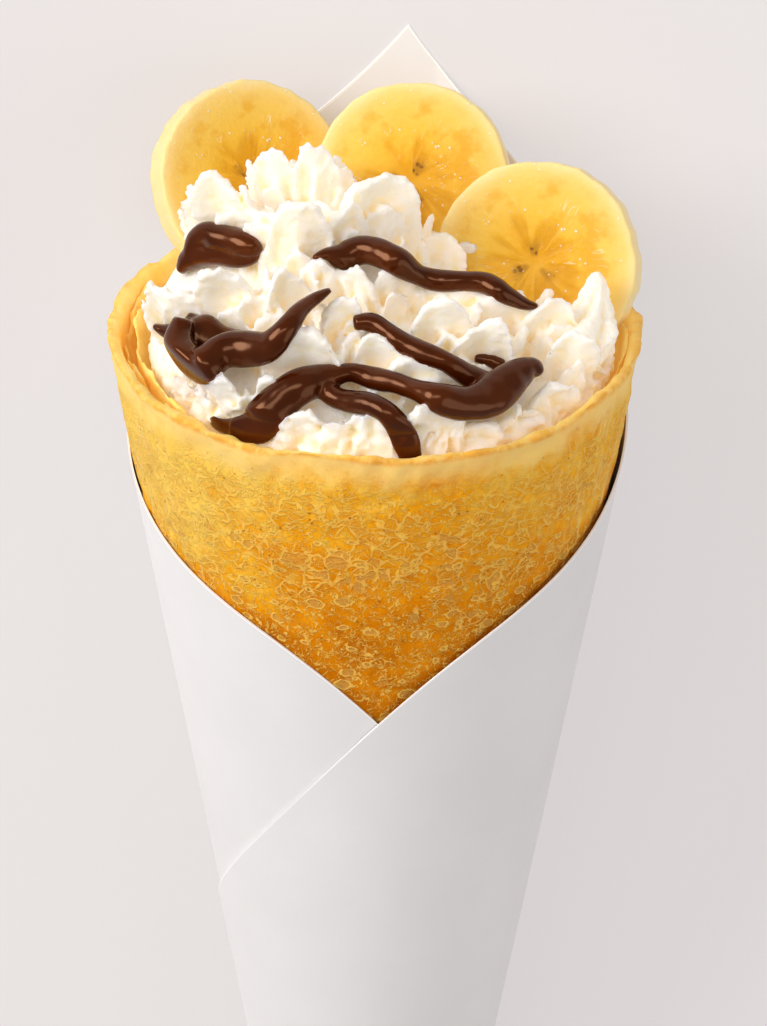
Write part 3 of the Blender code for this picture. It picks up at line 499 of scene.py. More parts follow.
def piece(name, mesh, skin, node):
    """A shown piece that stands for a solid and rides with it."""
    set_coordinates(mesh, lay_down(coordinates(mesh)))
    mesh.materials.clear()
    mesh.materials.append(skin)
    mesh.shade_smooth()
    item = bpy.data.objects.new(name, mesh)
    bpy.context.scene.collection.objects.link(item)
    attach(item, "root")
    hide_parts(node)
    return item


def remeshed(mesh, voxel):
    """One skin round everything in the mesh, by voxels."""
    item = bpy.data.objects.new("remesh", mesh)
    bpy.context.scene.collection.objects.link(item)
    modifier = item.modifiers.new("remesh", "REMESH")
    modifier.mode = "VOXEL"
    modifier.voxel_size = voxel
    modifier.adaptivity = 0.0
    evaluated = item.evaluated_get(bpy.context.evaluated_depsgraph_get())
    made = bpy.data.meshes.new_from_object(evaluated)
    bpy.data.objects.remove(item, do_unlink=True)
    bpy.data.meshes.remove(mesh)
    return made


def neighbour_mean(mesh, values, rounds):
    """Each value averaged with those along its edges, several times."""
    edges = np.empty(len(mesh.edges) * 2, int)
    mesh.edges.foreach_get("vertices", edges)
    edges = edges.reshape(-1, 2)
    count = np.bincount(edges.ravel(), minlength=len(mesh.vertices)).astype(float)
    count = np.maximum(count, 1.0)
    values = np.array(values, float)
    flat = values.reshape(len(values), -1)
    for _ in range(rounds):
        total = np.zeros_like(flat)
        for axis in range(flat.shape[1]):
            total[:, axis] += np.bincount(edges[:, 0], flat[edges[:, 1], axis], len(flat))
            total[:, axis] += np.bincount(edges[:, 1], flat[edges[:, 0], axis], len(flat))
        flat = 0.5 * flat + 0.5 * total / count[:, None]
    return flat.reshape(values.shape)


# Paper

def paper_offset(wrap):
    """How far the sheet lies outside the cone; it moves out where it laps itself."""
    return PAPER_INNER_OFFSET + PAPER_LAYER_STEP * np.interp(wrap, *PAPER_LAP)


def paper_edge(wrap):
    """How far the sheet reaches from the cone's point at each wrap."""
    spread = np.radians(wrap) * math.sin(CONE_ANGLE)
    corner = math.radians(PAPER_CORNER_WRAP) * math.sin(CONE_ANGLE)
    corner_across = PAPER_CORNER * math.sin(corner)
    corner_up = PAPER_CORNER * math.cos(corner)
    right = spread > corner
    slope = np.where(right, PAPER_RIGHT_FALL[0], -PAPER_LEFT_FALL[0])
    bow = np.where(right, PAPER_RIGHT_FALL[1], PAPER_LEFT_FALL[1])
    gable = np.full_like(spread, PAPER_CORNER)
    for _ in range(PAPER_EDGE_ROUNDS):
        away = np.abs(gable * np.sin(spread) - corner_across)
        drop = bow * (1.0 - np.exp(-away / PAPER_CORNER_BLEND))
        gable = (corner_up + slope * corner_across - drop) / (np.cos(spread) + slope * np.sin(spread))
    breadth = np.where(right, PAPER_RIGHT_SIDE, PAPER_LEFT_SIDE)
    side = breadth / np.maximum(np.sin(np.abs(spread)), PAPER_LEAST_SPREAD)
    power = PAPER_CORNER_ROUNDNESS
    return (gable ** -power + side ** -power) ** (-1.0 / power)


def make_paper(skin):
    """The wrapped sheet; its upper cut edge carries a painted highlight."""
    wraps = np.arange(PAPER_FIRST_WRAP, PAPER_LAST_WRAP + 0.1, PAPER_WRAP_STEP)
    wraps[np.argmin(np.abs(wraps - PAPER_CORNER_WRAP))] = PAPER_CORNER_WRAP
    shares = np.append(np.linspace(0.0, PAPER_FACE_END, PAPER_ROWS), PAPER_CUT_ROWS)
    sides = []
    for depth in (0.0, PAPER_THICKNESS):
        grid = []
        for share in shares:
            slant = PAPER_TIP + (paper_edge(wraps) - PAPER_TIP) * share
            height = slant * math.cos(CONE_ANGLE)
            turn = 180.0 - wraps
            radius = cone_radius(height, turn, paper_offset(wraps) + depth)
            grid.append(at_turn(radius, turn, height))
        sides.append(np.array(grid))
    points, faces = sheet_solid(sides[1], sides[0])
    mesh = new_mesh("paper", points, faces)
    # The cut edge's rows, where the painted highlight goes
    cut_highlight = np.zeros((2, len(shares), len(wraps)))
    cut_highlight[:, -2:, :] = 1.0
    put_number(mesh, "cut_highlight", cut_highlight)
    item = piece("paper_wrap", mesh, skin, "paper_cone")
    item.data.set_sharp_from_angle(angle=PAPER_SHARP)
    return item


# Crepe

def rim_height(turn):
    """The rim's height: higher behind, with long waves."""
    angle = np.radians(turn)
    wave = sum(height * np.cos(count * angle + shift) for height, count, shift in RIM_WAVES)
    return MOUTH_HEIGHT + 1.0 - np.cos(angle) + wave


def wall_inset(height):
    """How far the pocket's wall stands in from the outside."""
    bend = MOUTH_HEIGHT - CREPE_LIP_DEPTH
    return np.interp(height, (CREPE_FLOOR, bend), (CREPE_FLOOR_WALL, CREPE_LIP))


def leaf_inset(leaf, height, turn):
    """The same for the middle of an inner layer."""
    _, first, last, inset, _ = leaf
    along = np.clip((wrapped(turn) - first) / (last - first), 0.0, 1.0)
    top = LEAF_FOOT_INSET + (inset - LEAF_FOOT_INSET) * np.sqrt(np.sin(math.pi * along))
    rise = np.clip((height - LEAF_FOOT) / (LEAF_BEND - LEAF_FOOT), 0.0, 1.0)
    return LEAF_FOOT_INSET + (top - LEAF_FOOT_INSET) * rise


def unrolled(points):
    """Place on the unrolled cone: along the turn at the mouth, and up, in millimetres."""
    turn = np.arctan2(points[:, 0], -points[:, 1])
    return np.stack([turn * CONE_SLOPE * MOUTH_HEIGHT, points[:, 2], np.zeros(len(points))], axis=1)


def ragged_rim(turns):
    """Small unevenness along an edge."""
    return ripples(at_turn(RIM_RADIUS, turns, 0.0), RAGGED_WAVES)


def crepe_cup():
    """The rolled crepe and its pocket: up the outside, over the rim and down the inside."""
    turns = np.arange(CREPE_COLUMNS) * 360.0 / CREPE_COLUMNS
    rim = rim_height(turns) + ragged_rim(turns)
    lip = CREPE_LIP + 0.3 * ripple(at_turn(RIM_RADIUS, turns, 0.0), 4.0, 5.0)
    levels = np.append(np.linspace(CREPE_BOTTOM, CREPE_PLAIN_TOP, 10),
                       np.arange(CREPE_PLAIN_TOP + 3.0, CREPE_RIM_FOOT, 1.0))
    profile = [(np.full_like(turns, level), 0.0) for level in levels]
    for share in np.linspace(0.0, 1.0, 5)[:-1]:
        profile.append((CREPE_RIM_FOOT + (rim - CREPE_RIM_ROUND - CREPE_RIM_FOOT) * share, 0.0))
    for angle in np.linspace(0.0, math.pi, 9):
        inset = lip * (0.5 * (1.0 - math.cos(angle))) ** 1.5
        profile.append((rim - CREPE_RIM_ROUND + CREPE_RIM_ROUND * math.sin(angle), inset))
    for height in np.linspace(CREPE_RIM_FOOT, CREPE_FLOOR, 30):
        profile.append((height, np.maximum(wall_inset(height), lip)))
    rings = [at_turn(cone_radius(height, turns, CREPE_OFFSET) - inset, turns, height)
             for height, inset in profile]
    return ring_solid(rings, (0.0, 0.0, CREPE_BOTTOM), (0.0, 0.0, CREPE_FLOOR))


def crepe_leaf(leaf):
    """An inner layer that shows beside the filling, thinner at its uneven top."""
    name, first, last, _, top = leaf
    turns = np.linspace(first, last, LEAF_COLUMNS)
    along = (turns - first) / (last - first)
    crest = top - LEAF_END_DROP * np.abs(2.0 * along - 1.0) ** 3 + LEAF_WAVE * np.cos(along * 17.0)
    crest = crest + ragged_rim(turns + len(name) * 31.0) * LEAF_RAGGED
    grids = []
    for side in (-0.5, 0.5):
        grid = []
        for share in np.linspace(0.0, 1.0, LEAF_ROWS):
            height = LEAF_FOOT + (crest - LEAF_FOOT) * share
            thick = LEAF_THICKNESS * min(1.0, 0.35 + 4.0 * (1.0 - share))
            places = at_turn(RIM_RADIUS, turns + len(name) * 57.0, share * 9.0)
            sway = 0.6 * share ** 2 * ripple(places, 6.0, 8.0)
            inset = leaf_inset(leaf, height, turns) - side * thick + sway
            grid.append(at_turn(cone_radius(height, turns, CREPE_OFFSET) - inset, turns, height))
        grids.append(np.array(grid))
    return sheet_solid(grids[1], grids[0])


def height_over_paper(turn, slant):
    """How far up the cone a place lies from the highest paper edge that passes its turn."""
    highest = np.zeros_like(slant)
    for lap in (180.0, -180.0):
        wrap = lap - wrapped(turn)
        there = (wrap >= PAPER_FIRST_WRAP) & (wrap <= PAPER_LAST_WRAP)
        highest = np.maximum(highest, np.where(there, paper_edge(wrap), 0.0))
    return slant - highest


def make_crepe(skin):
    """The crepe with relief where it shows, stronger where it stands free of the paper."""
    points, faces = joined([crepe_cup()] + [crepe_leaf(leaf) for leaf in CREPE_LEAVES])
    mesh = new_mesh("crepe", points, faces)
    points = coordinates(mesh)
    turn = np.degrees(np.arctan2(points[:, 0], -points[:, 1]))
    around = np.hypot(points[:, 0], points[:, 1])
    bare = height_over_paper(turn, np.hypot(points[:, 2], around))
    shown = np.clip((points[:, 2] - 170.0) / 15.0, 0.0, 1.0)
    loose = np.clip((points[:, 2] - 231.0) / 8.0, 0.0, 1.0) * np.clip(bare / 4.0, 0.0, 1.0)
    relief = ripples(points, CREPE_WAVES) + loose * ripples(points, LOOSE_WAVES)
    relief = np.minimum(relief, 0.2 + 0.6 * loose)
    set_coordinates(mesh, points + normals(mesh) * (relief * shown)[:, None])
    put_vector(mesh, "unrolled", unrolled(points))
    put_number(mesh, "below_rim", rim_height(turn) - points[:, 2])
    put_number(mesh, "above_paper", bare)
    inside = cone_radius(points[:, 2], turn, CREPE_OFFSET) - around
    put_number(mesh, "inside", np.clip(inside / 1.2, 0.0, 1.0))
    return piece("crepe_skin", mesh, skin, "crepe")


# Places on the arrangement

def sight_line(across, up):
    """The direction from the sight point to a place across and up from the mouth."""
    place = MOUTH_CENTRE + SIGHT_ACROSS * across + SIGHT_UP * up
    return (place - SIGHT_POINT).normalized()


def at_depth(across, up, back):
    """Where that sight line passes a distance behind the axis."""
    line = sight_line(across, up)
    return SIGHT_POINT + line * ((back - SIGHT_POINT.y) / line.y)


def mound_height(across, back):
    """The heap's underlying hills."""
    height = FILLING_EDGE + 2.0
    for middle, behind, rise, wide, deep in FILLING_HILLS:
        wide = np.where(np.asarray(across) > middle, wide * HILL_RIGHT, wide)
        reach = ((across - middle) / wide) ** 2 + ((back - behind) / deep) ** 2
        height = height + rise * np.exp(-0.5 * reach)
    return height


def mound_point(across, up):
    """Where a sight line first meets the heap's hills."""
    for back in np.arange(-SIGHT_REACH, SIGHT_REACH, SIGHT_STEP):
        point = at_depth(across, up, back)
        if point.z <= mound_height(point.x, point.y):
            break
    return point


def rooted_point(across, up, room):
    """The same, but slid along the sight line until it lies well inside the rim."""
    point = mound_point(across, up)
    line = sight_line(across, up)
    limit = CONE_SLOPE * MOUTH_HEIGHT - CREPE_LIP - room
    for _ in range(60):
        if math.hypot(point.x, point.y) <= limit:
            break
        point = point + line * SIGHT_STEP
    return point


# Banana

def slice_frame(spec):
    """A slice's middle and its directions to the side, up and out of its face."""
    across, up, back, _, turn = spec
    centre = at_depth(across, up, back)
    lean = math.radians(SLICE_LEAN)
    angle = math.radians(turn)
    facing = Vector((math.sin(angle) * math.cos(lean), -math.cos(angle) * math.cos(lean), math.sin(lean)))
    side = Vector((math.cos(angle), math.sin(angle), 0.0))
    return centre, side, facing.cross(side) * -1.0, facing


def slice_outline(radius, across, seed, turns):
    """A nearly round outline with faint ridges."""
    outline = radius * (1.0 + 0.008 * np.cos(5.0 * turns + across) + 0.005 * np.cos(9.0 * turns))
    return outline - 0.10 * np.abs(np.sin(11.0 * turns + seed)) - 0.05 * np.cos(23.0 * turns)


def slice_section(radius):
    """From the face's middle over the rounded rim to the back's: share of the radius, and depth."""
    section = [(share, 0.0) for share in np.linspace(0.03, 0.955, 44)]
    for bend in np.linspace(0.2, math.pi / 2.0, 5):
        section.append((1.0 - SLICE_BEVEL / radius * (1.0 - math.sin(bend)),
                        -SLICE_BEVEL * (1.0 - math.cos(bend))))
    edge = np.linspace(-SLICE_BEVEL * 1.6, -SLICE_THICKNESS + SLICE_BEVEL, 12)
    section += [(1.0, depth) for depth in edge]
    section.append((1.0 - SLICE_BEVEL / radius, -SLICE_THICKNESS))
    return section + [(share, -SLICE_THICKNESS) for share in np.linspace(0.9, 0.05, 12)]


def make_slice(name, seed, skin):
    """A slice, its face slightly dished and hollow at the core."""
    spec = BANANA_SLICES[name]
    across, _, _, radius, _ = spec
    centre, side, above, facing = slice_frame(spec)
    turns = np.arange(SLICE_SIDES) * 2.0 * math.pi / SLICE_SIDES
    outline = slice_outline(radius, across, seed, turns)
    rings = [np.stack([np.cos(turns) * outline * share, np.sin(turns) * outline * share,
                       np.full(SLICE_SIDES, depth)], axis=1) for share, depth in slice_section(radius)]
    points, faces = ring_solid(rings, (0.0, 0.0, 0.0), (0.0, 0.0, -SLICE_THICKNESS))
    local = points.copy()
    reach = np.hypot(points[:, 0], points[:, 1]) / radius
    front = points[:, 2] > -0.3
    dish = -0.25 * (1.0 - reach ** 2) - 0.35 * np.exp(-(reach / 0.16) ** 2)
    dish = dish + 0.10 * ripple(points, 2.6, seed) * np.clip(1.0 - reach, 0.0, 1.0) ** 0.5
    points[front, 2] += dish[front]
    rims = np.abs(reach - 1.0) < 0.02
    points[rims, :2] *= (1.0 + 0.006 * ripple(points[rims] * (1.0, 1.0, 0.3), 2.2, seed))[:, None]
    mesh = new_mesh(name, np.array(centre) + points @ np.array([side, above, facing]), faces)
    put_vector(mesh, "slice_place", local / radius)
    put_number(mesh, "slice_seed", np.full(len(local), seed))
    return piece(name.replace("banana_slice", "slice"), mesh, skin, name)


# Whipped cream

def filling_limit(height, turn):
    """The radius inside the crepe that the filling keeps to."""
    inset = wall_inset(height)
    for leaf in CREPE_LEAVES:
        outside = (wrapped(turn) < leaf[1]) | (wrapped(turn) > leaf[2])
        inner = leaf_inset(leaf, height, turn) + LEAF_THICKNESS / 2.0
        inset = np.maximum(inset, np.where(outside, 0.0, inner))
    at_rim = np.minimum(height, MOUTH_HEIGHT)
    radius = cone_radius(at_rim, turn, CREPE_OFFSET) - inset - FILLING_GAP
    return radius + FILLING_FLARE * np.maximum(height - MOUTH_HEIGHT - 3.0, 0.0)


def filling_core():
    """The filling under the lobes: it fills the pocket and rises into the hills."""
    turns = np.arange(CORE_COLUMNS) * 360.0 / CORE_COLUMNS
    rings = []
    for height in np.linspace(CREPE_FLOOR + FILLING_GAP, FILLING_EDGE, 14):
        rings.append(at_turn(filling_limit(height, turns), turns, height))
    edge = filling_limit(FILLING_EDGE, turns)
    for share in np.linspace(0.97, 0.03, 36):
        place = at_turn(edge * share, turns, 0.0)
        height = mound_height(place[:, 0], place[:, 1])
        blend = min(1.0, (1.0 - share) / CORE_SHOULDER)
        bumps = CORE_BUMPS * ripple(place, 7.0, 8.0) * blend
        place[:, 2] = FILLING_EDGE + (height - FILLING_EDGE) * blend ** 0.6 + bumps
        rings.append(place)
    top = float(mound_height(0.0, 0.0))
    return ring_solid(rings, (0.0, 0.0, CREPE_FLOOR + FILLING_GAP), (0.0, 0.0, top))


def lobe(index, spec):
    """A lobe whose root is given by its place in the view."""
    across, up, width, height, turn = spec
    return lobe_at(index, rooted_point(across, up, LOBE_RIM_ROOM + 0.25 * width), width, height, turn)


def lobe_at(index, root, width, height, turn):
    """A thick, cupped and fluted lobe of cream with a ragged top."""
    away = min(1.0, LOBE_SPREAD_REACH / max(1.0, math.hypot(root.x, root.y)))
    outward = Vector((root.x, root.y, 0.0)) * LOBE_SPREAD * away
    above = (Vector((0.0, 0.0, 1.0)) + outward).normalized()
    angle = math.radians(turn)
    facing = Vector((math.sin(angle), -math.cos(angle), LOBE_TILT))
    facing = (facing - above * facing.dot(above)).normalized()
    side = above.cross(facing)
    seed = index * 7.3
    line = np.linspace(-1.0, 1.0, LOBE_COLUMNS)
    places = np.stack([line, np.full_like(line, seed), np.zeros_like(line)], axis=1)
    fall, power = LOBE_SIDE_FALL
    broad = LOBE_UNEVEN[0] * ripple(places, 0.9, 1.0)
    fine = LOBE_UNEVEN[1] * ripple(places, 0.28, 2.0)
    flutes = 1.0 + LOBE_FLUTE * np.cos(line * (5.0 + index % 3) + seed)
    dome = 1.0 - fall * np.abs(line) ** power + broad
    grids = []
    for face in (-0.5, 0.5):
        grid = []
        for share in np.linspace(0.0, 1.0, LOBE_ROWS):
            reach = (height + LOBE_ROOT) * share * (dome + fine * share)
            spread = 0.5 * width * line * (0.70 + 0.30 * math.sin(2.2 * share))
            taper = 1.0 - LOBE_TAPER * share ** 1.5
            thick = LOBE_THICKNESS * width * taper * (1.0 - 0.5 * np.abs(line) ** 3) * flutes
            wave = LOBE_WAVE * width * share * np.sin(line * 3.4 + seed)
            cup = LOBE_CUP[0] * height * share ** 2 + LOBE_CUP[1] * width * line ** 2 * share
            offset = cup + wave + face * thick
            row = (np.array(root) + np.outer(spread, side) + np.outer(reach - LOBE_ROOT, above)
                   + np.outer(offset, facing))
            grid.append(row)
        grids.append(np.array(grid))
    return sheet_solid(grids[1], grids[0])


def small_lobes(index, spec):
    """Smaller lobes that crowd round a large one."""
    across, up, width, height, turn = spec
    found = []
    for number, (aside, above, swing) in enumerate(SMALL_LOBES):
        shake = 0.5 * math.sin(index * 3.7 + number * 2.3)
        small = (across + (aside + 0.2 * shake) * width, up + (above + 0.1 * shake) * height,
                 width * (SMALL_SCALE + 0.15 * shake), height * (SMALL_SCALE + 0.2 * shake),
                 turn + swing + 30.0 * shake)
        shape = lobe(SMALL_INDEX + index * 3 + number, small)
        if not meets_slice(shape[0]):
            found.append(shape)
    return found


def meets_slice(points):
    """Whether a shape runs into a banana slice."""
    for spec in BANANA_SLICES.values():
        centre, side, above, facing = slice_frame(spec)
        offset = points - np.array(centre)
        reach = np.hypot(offset @ np.array(side), offset @ np.array(above))
        depth = offset @ np.array(facing)
        if np.any((reach < spec[3]) & (depth < 0.0) & (depth > -SLICE_THICKNESS)):
            return True
    return False


def back_lobes():
    """Lobes over the far side of the heap, down to the rim."""
    found = []
    for row, (distance, count) in enumerate(BACK_ROWS):
        for number in range(count):
            spread = BACK_SPREAD * (2.0 * (number + 0.5) / count - 1.0)
            turn = 180.0 + spread + BACK_ROW_TURN * row
            place = at_turn(distance, turn, 0.0)
            height = mound_height(place[0] + BACK_MIDDLE, place[1]) - BACK_SINK
            root = Vector((place[0] + BACK_MIDDLE, place[1], height))
            size = BACK_SIZE * (1.0 + 0.2 * math.sin(number * 2.7 + row))
            index = BACK_INDEX + row * 20 + number
            swing = BACK_SWING * math.sin(index * 1.9)
            shape = lobe_at(index, root, size, BACK_HEIGHT * size, turn + swing)
            if not meets_slice(shape[0]):
                found.append(shape)
    return found


def piped_point(spec):
    """A piped point whose ridges run up to a hooked tip."""
    foot, tip, radius, ridges = spec
    foot = np.array(foot)
    axis = np.array(tip) - foot
    side = np.cross(axis, (0.0, 0.0, 1.0))
    side = side / np.linalg.norm(side)
    ahead = np.cross(side, axis)
    ahead = ahead / np.linalg.norm(ahead)
    turns = np.arange(POINT_COLUMNS) * 2.0 * math.pi / POINT_COLUMNS
    rings = []
    for share in np.linspace(0.0, 1.0, POINT_ROWS):
        ridge = np.abs(np.cos(0.5 * ridges * (turns + POINT_TWIST * share)))
        swell = (1.0 - share) ** 0.8 * (1.0 + POINT_BULGE[0] * math.sin(POINT_BULGE[1] * share))
        reach = radius * (0.05 + 0.95 * swell) * (POINT_RIDGE[0] + POINT_RIDGE[1] * ridge)
        sway = POINT_SWAY[0] * math.sin(POINT_SWAY[1] * share) * share
        middle = foot + axis * share + side * sway
        ring = middle + np.outer(np.cos(turns) * reach, side) + np.outer(np.sin(turns) * reach, ahead)
        rings.append(ring)
    return ring_solid(rings, tuple(foot), tuple(rings[-1].mean(axis=0)))


def kept_inside(points, extra=0.0):
    """Points eased back from the crepe's wall, the order of their distances kept."""
    turn = np.degrees(np.arctan2(points[:, 0], -points[:, 1]))
    radius = np.hypot(points[:, 0], points[:, 1])
    limit = filling_limit(points[:, 2], turn) + extra
    over = np.maximum(radius - (limit - EASE), 0.0)
    eased = np.where(over > 0.0, limit - EASE * np.exp(-over / EASE), radius)
    points = points.copy()
    points[:, :2] *= (eased / np.maximum(radius, 0.001))[:, None]
    return points


def hollow_at(mesh, points, outward, rounds, weight):
    """How far each point lies below its surroundings; crests are negative."""
    bulge = np.einsum("ij,ij->i", neighbour_mean(mesh, points, rounds) - points, outward)
    return weight * neighbour_mean(mesh, bulge, 3)


def make_cream(skin):
    """The heap as one skin with relief; its surface is returned for the sauce to lie on."""
    shapes = [filling_core()]
    shapes += [lobe(index, spec) for index, spec in enumerate(CREAM_LOBES)]
    for index, spec in enumerate(CREAM_LOBES):
        shapes += small_lobes(index, spec)
    shapes += back_lobes()
    shapes += [piped_point(spec) for spec in CREAM_POINTS]
    points, faces = joined(shapes)
    mesh = remeshed(new_mesh("cream", points, faces), CREAM_VOXEL)
    points = neighbour_mean(mesh, coordinates(mesh), 1)
    set_coordinates(mesh, points)
    outward = normals(mesh)
    # The finest waves are strongest on crests
    crest = np.clip(-3.0 * hollow_at(mesh, points, outward, 6, 1.0), 0.0, 1.0)
    relief = 0.24 * ripple(points, 3.4, 6.0) + (0.14 + 0.60 * crest) * ripple(points, 0.9, 7.0)
    dents = WALL_DENTS * np.clip(ripple(points, 3.6, 14.0) + 0.2, 0.0, 1.0)
    dents = dents + 0.35 * ripple(points, 1.4, 15.0)
    points = kept_inside(points + outward * relief[:, None], -dents)
    set_coordinates(mesh, points)
    outward = normals(mesh)
    narrow = hollow_at(mesh, points, outward, 4, 2.2)
    broad = hollow_at(mesh, points, outward, 18, 0.8)
    # How deep each place lies in a hollow, for the painted shade there
    put_number(mesh, "hollow", narrow + broad)
    surface = BVHTree.FromPolygons(points.tolist(), [tuple(face.vertices) for face in mesh.polygons])
    piece("cream_heap", mesh, skin, "whipped_cream")
    return surface


# Chocolate sauce

def smooth_path(points, step):
    """Points close together along a smooth line through the given ones."""
    points = [np.array(point) for point in points]
    ends = [2 * points[0] - points[1]] + points + [2 * points[-1] - points[-2]]
    found = []
    for before, here, there, after in zip(ends, ends[1:], ends[2:], ends[3:]):
        count = max(1, round(float(np.linalg.norm((there - here)[:2])) / step))
        for part in range(count):
            t = part / count
            found.append(0.5 * (2 * here + (there - before) * t
                                + (2 * before - 5 * here + 4 * there - after) * t ** 2
                                + (3 * here - before - 3 * there + after) * t ** 3))
    found.append(points[-1])
    return found


def draped(surface, path, sides):
    """Distances along the sight lines: where the ribbon lies over the cream, and the cream's own."""
    nearest = []
    farthest = []
    for (across, up, half_width), side in zip(path, sides):
        distances = []
        for share in DRAPE_PROBES:
            offset = side * (share * half_width)
            line = sight_line(across + offset[0], up + offset[1])
            hit = surface.ray_cast(SIGHT_POINT, line)[0] or mound_point(across, up)
            distances.append((hit - SIGHT_POINT).length)
        nearest.append(min(distances))
        farthest.append(max(distances))
    places = np.arange(len(path)) * SAUCE_STEP
    apart = np.abs(places[:, None] - places[None, :])
    level = np.min(np.array(nearest)[None, :] + SAUCE_SLOPE * apart, axis=1)
    for _ in range(DRAPE_ROUNDS):
        ends = np.concatenate([level[:1], level, level[-1:]])
        level = (ends[:-2] + 2.0 * level + ends[2:]) / 4.0
    return level, np.array(farthest)


def sauce_ribbon(ribbon, surface, number):
    """A rounded ribbon lying over the cream, rooted in it."""
    path = smooth_path(ribbon, SAUCE_STEP)
    places = np.array([point[:2] for point in path])
    runs = np.gradient(places, axis=0)
    runs = runs / np.linalg.norm(runs, axis=1)[:, None]
    sides = np.stack([-runs[:, 1], runs[:, 0]], axis=1)
    depths, cream_depths = draped(surface, path, sides)
    rings = []
    for index, (across, up, half_width) in enumerate(path):
        line = sight_line(across, up)
        side = SIGHT_ACROSS * sides[index][0] + SIGHT_UP * sides[index][1]
        swelling = 1.0 + SAUCE_UNEVEN * math.sin(index * 0.31 + number)
        reach = SAUCE_BREADTH * max(half_width, SAUCE_LEAST) * swelling
        rise = min(SAUCE_RISE[0] + SAUCE_RISE[1] * reach, SAUCE_MOST)
        root = max(cream_depths[index] - depths[index] + SAUCE_SINK, min(SAUCE_ROOT[0], 2.0 * reach))
        root = min(root, SAUCE_ROOT[1])
        lift = SAUCE_LIFTS.get(number, 0.0)
        centre = SIGHT_POINT + line * (depths[index] + SAUCE_CLEAR - lift)
        ring = []
        for corner in range(SAUCE_SIDES):
            turn = 2.0 * math.pi * corner / SAUCE_SIDES
            bulge = math.sin(turn) * (rise if math.sin(turn) > 0.0 else root + lift)
            offset = side * (math.cos(turn) * reach) - line * bulge
            ring.append(tuple(centre + offset))
        rings.append(np.array(ring))
    return ring_solid(rings, tuple(rings[0].mean(axis=0)), tuple(rings[-1].mean(axis=0)))


def make_sauce(surface, skin):
    """All ribbons as one skin; it records where the sauce is thin over the cream."""
    shapes = [sauce_ribbon(ribbon, surface, number) for number, ribbon in enumerate(SAUCE_RIBBONS)]
    points, faces = joined(shapes)
    mesh = remeshed(new_mesh("sauce", points, faces), SAUCE_VOXEL)
    points = neighbour_mean(mesh, coordinates(mesh), SAUCE_SMOOTHING)
    set_coordinates(mesh, points)
    relief = SAUCE_BUMPS * ripple(points, 3.5, 9.0) + SAUCE_BUMPS
    points = kept_inside(points + normals(mesh) * relief[:, None], SAUCE_OVER_CREAM)
    set_coordinates(mesh, points)
    gap = np.array([surface.find_nearest(point)[3] for point in points.tolist()])
    put_number(mesh, "thin", np.clip(1.0 - gap / SAUCE_THIN, 0.0, 1.0))
    return piece("chocolate_sauce", mesh, skin, "whipped_cream")


# Materials

class Wire:
    """A value that runs between nodes, so that sums can be written as sums."""

    def __init__(self, skin, socket):
        self.skin = skin
        self.socket = socket

    def __add__(self, other):
        return self.skin.math("ADD", self, other)

    def __radd__(self, other):
        return self.skin.math("ADD", other, self)

    def __sub__(self, other):
        return self.skin.math("SUBTRACT", self, other)

    def __rsub__(self, other):
        return self.skin.math("SUBTRACT", other, self)

    def __mul__(self, other):
        return self.skin.math("MULTIPLY", self, other)

    def __truediv__(self, other):
        return self.skin.math("DIVIDE", self, other)

    def __abs__(self):
        return self.skin.math("ABSOLUTE", self)


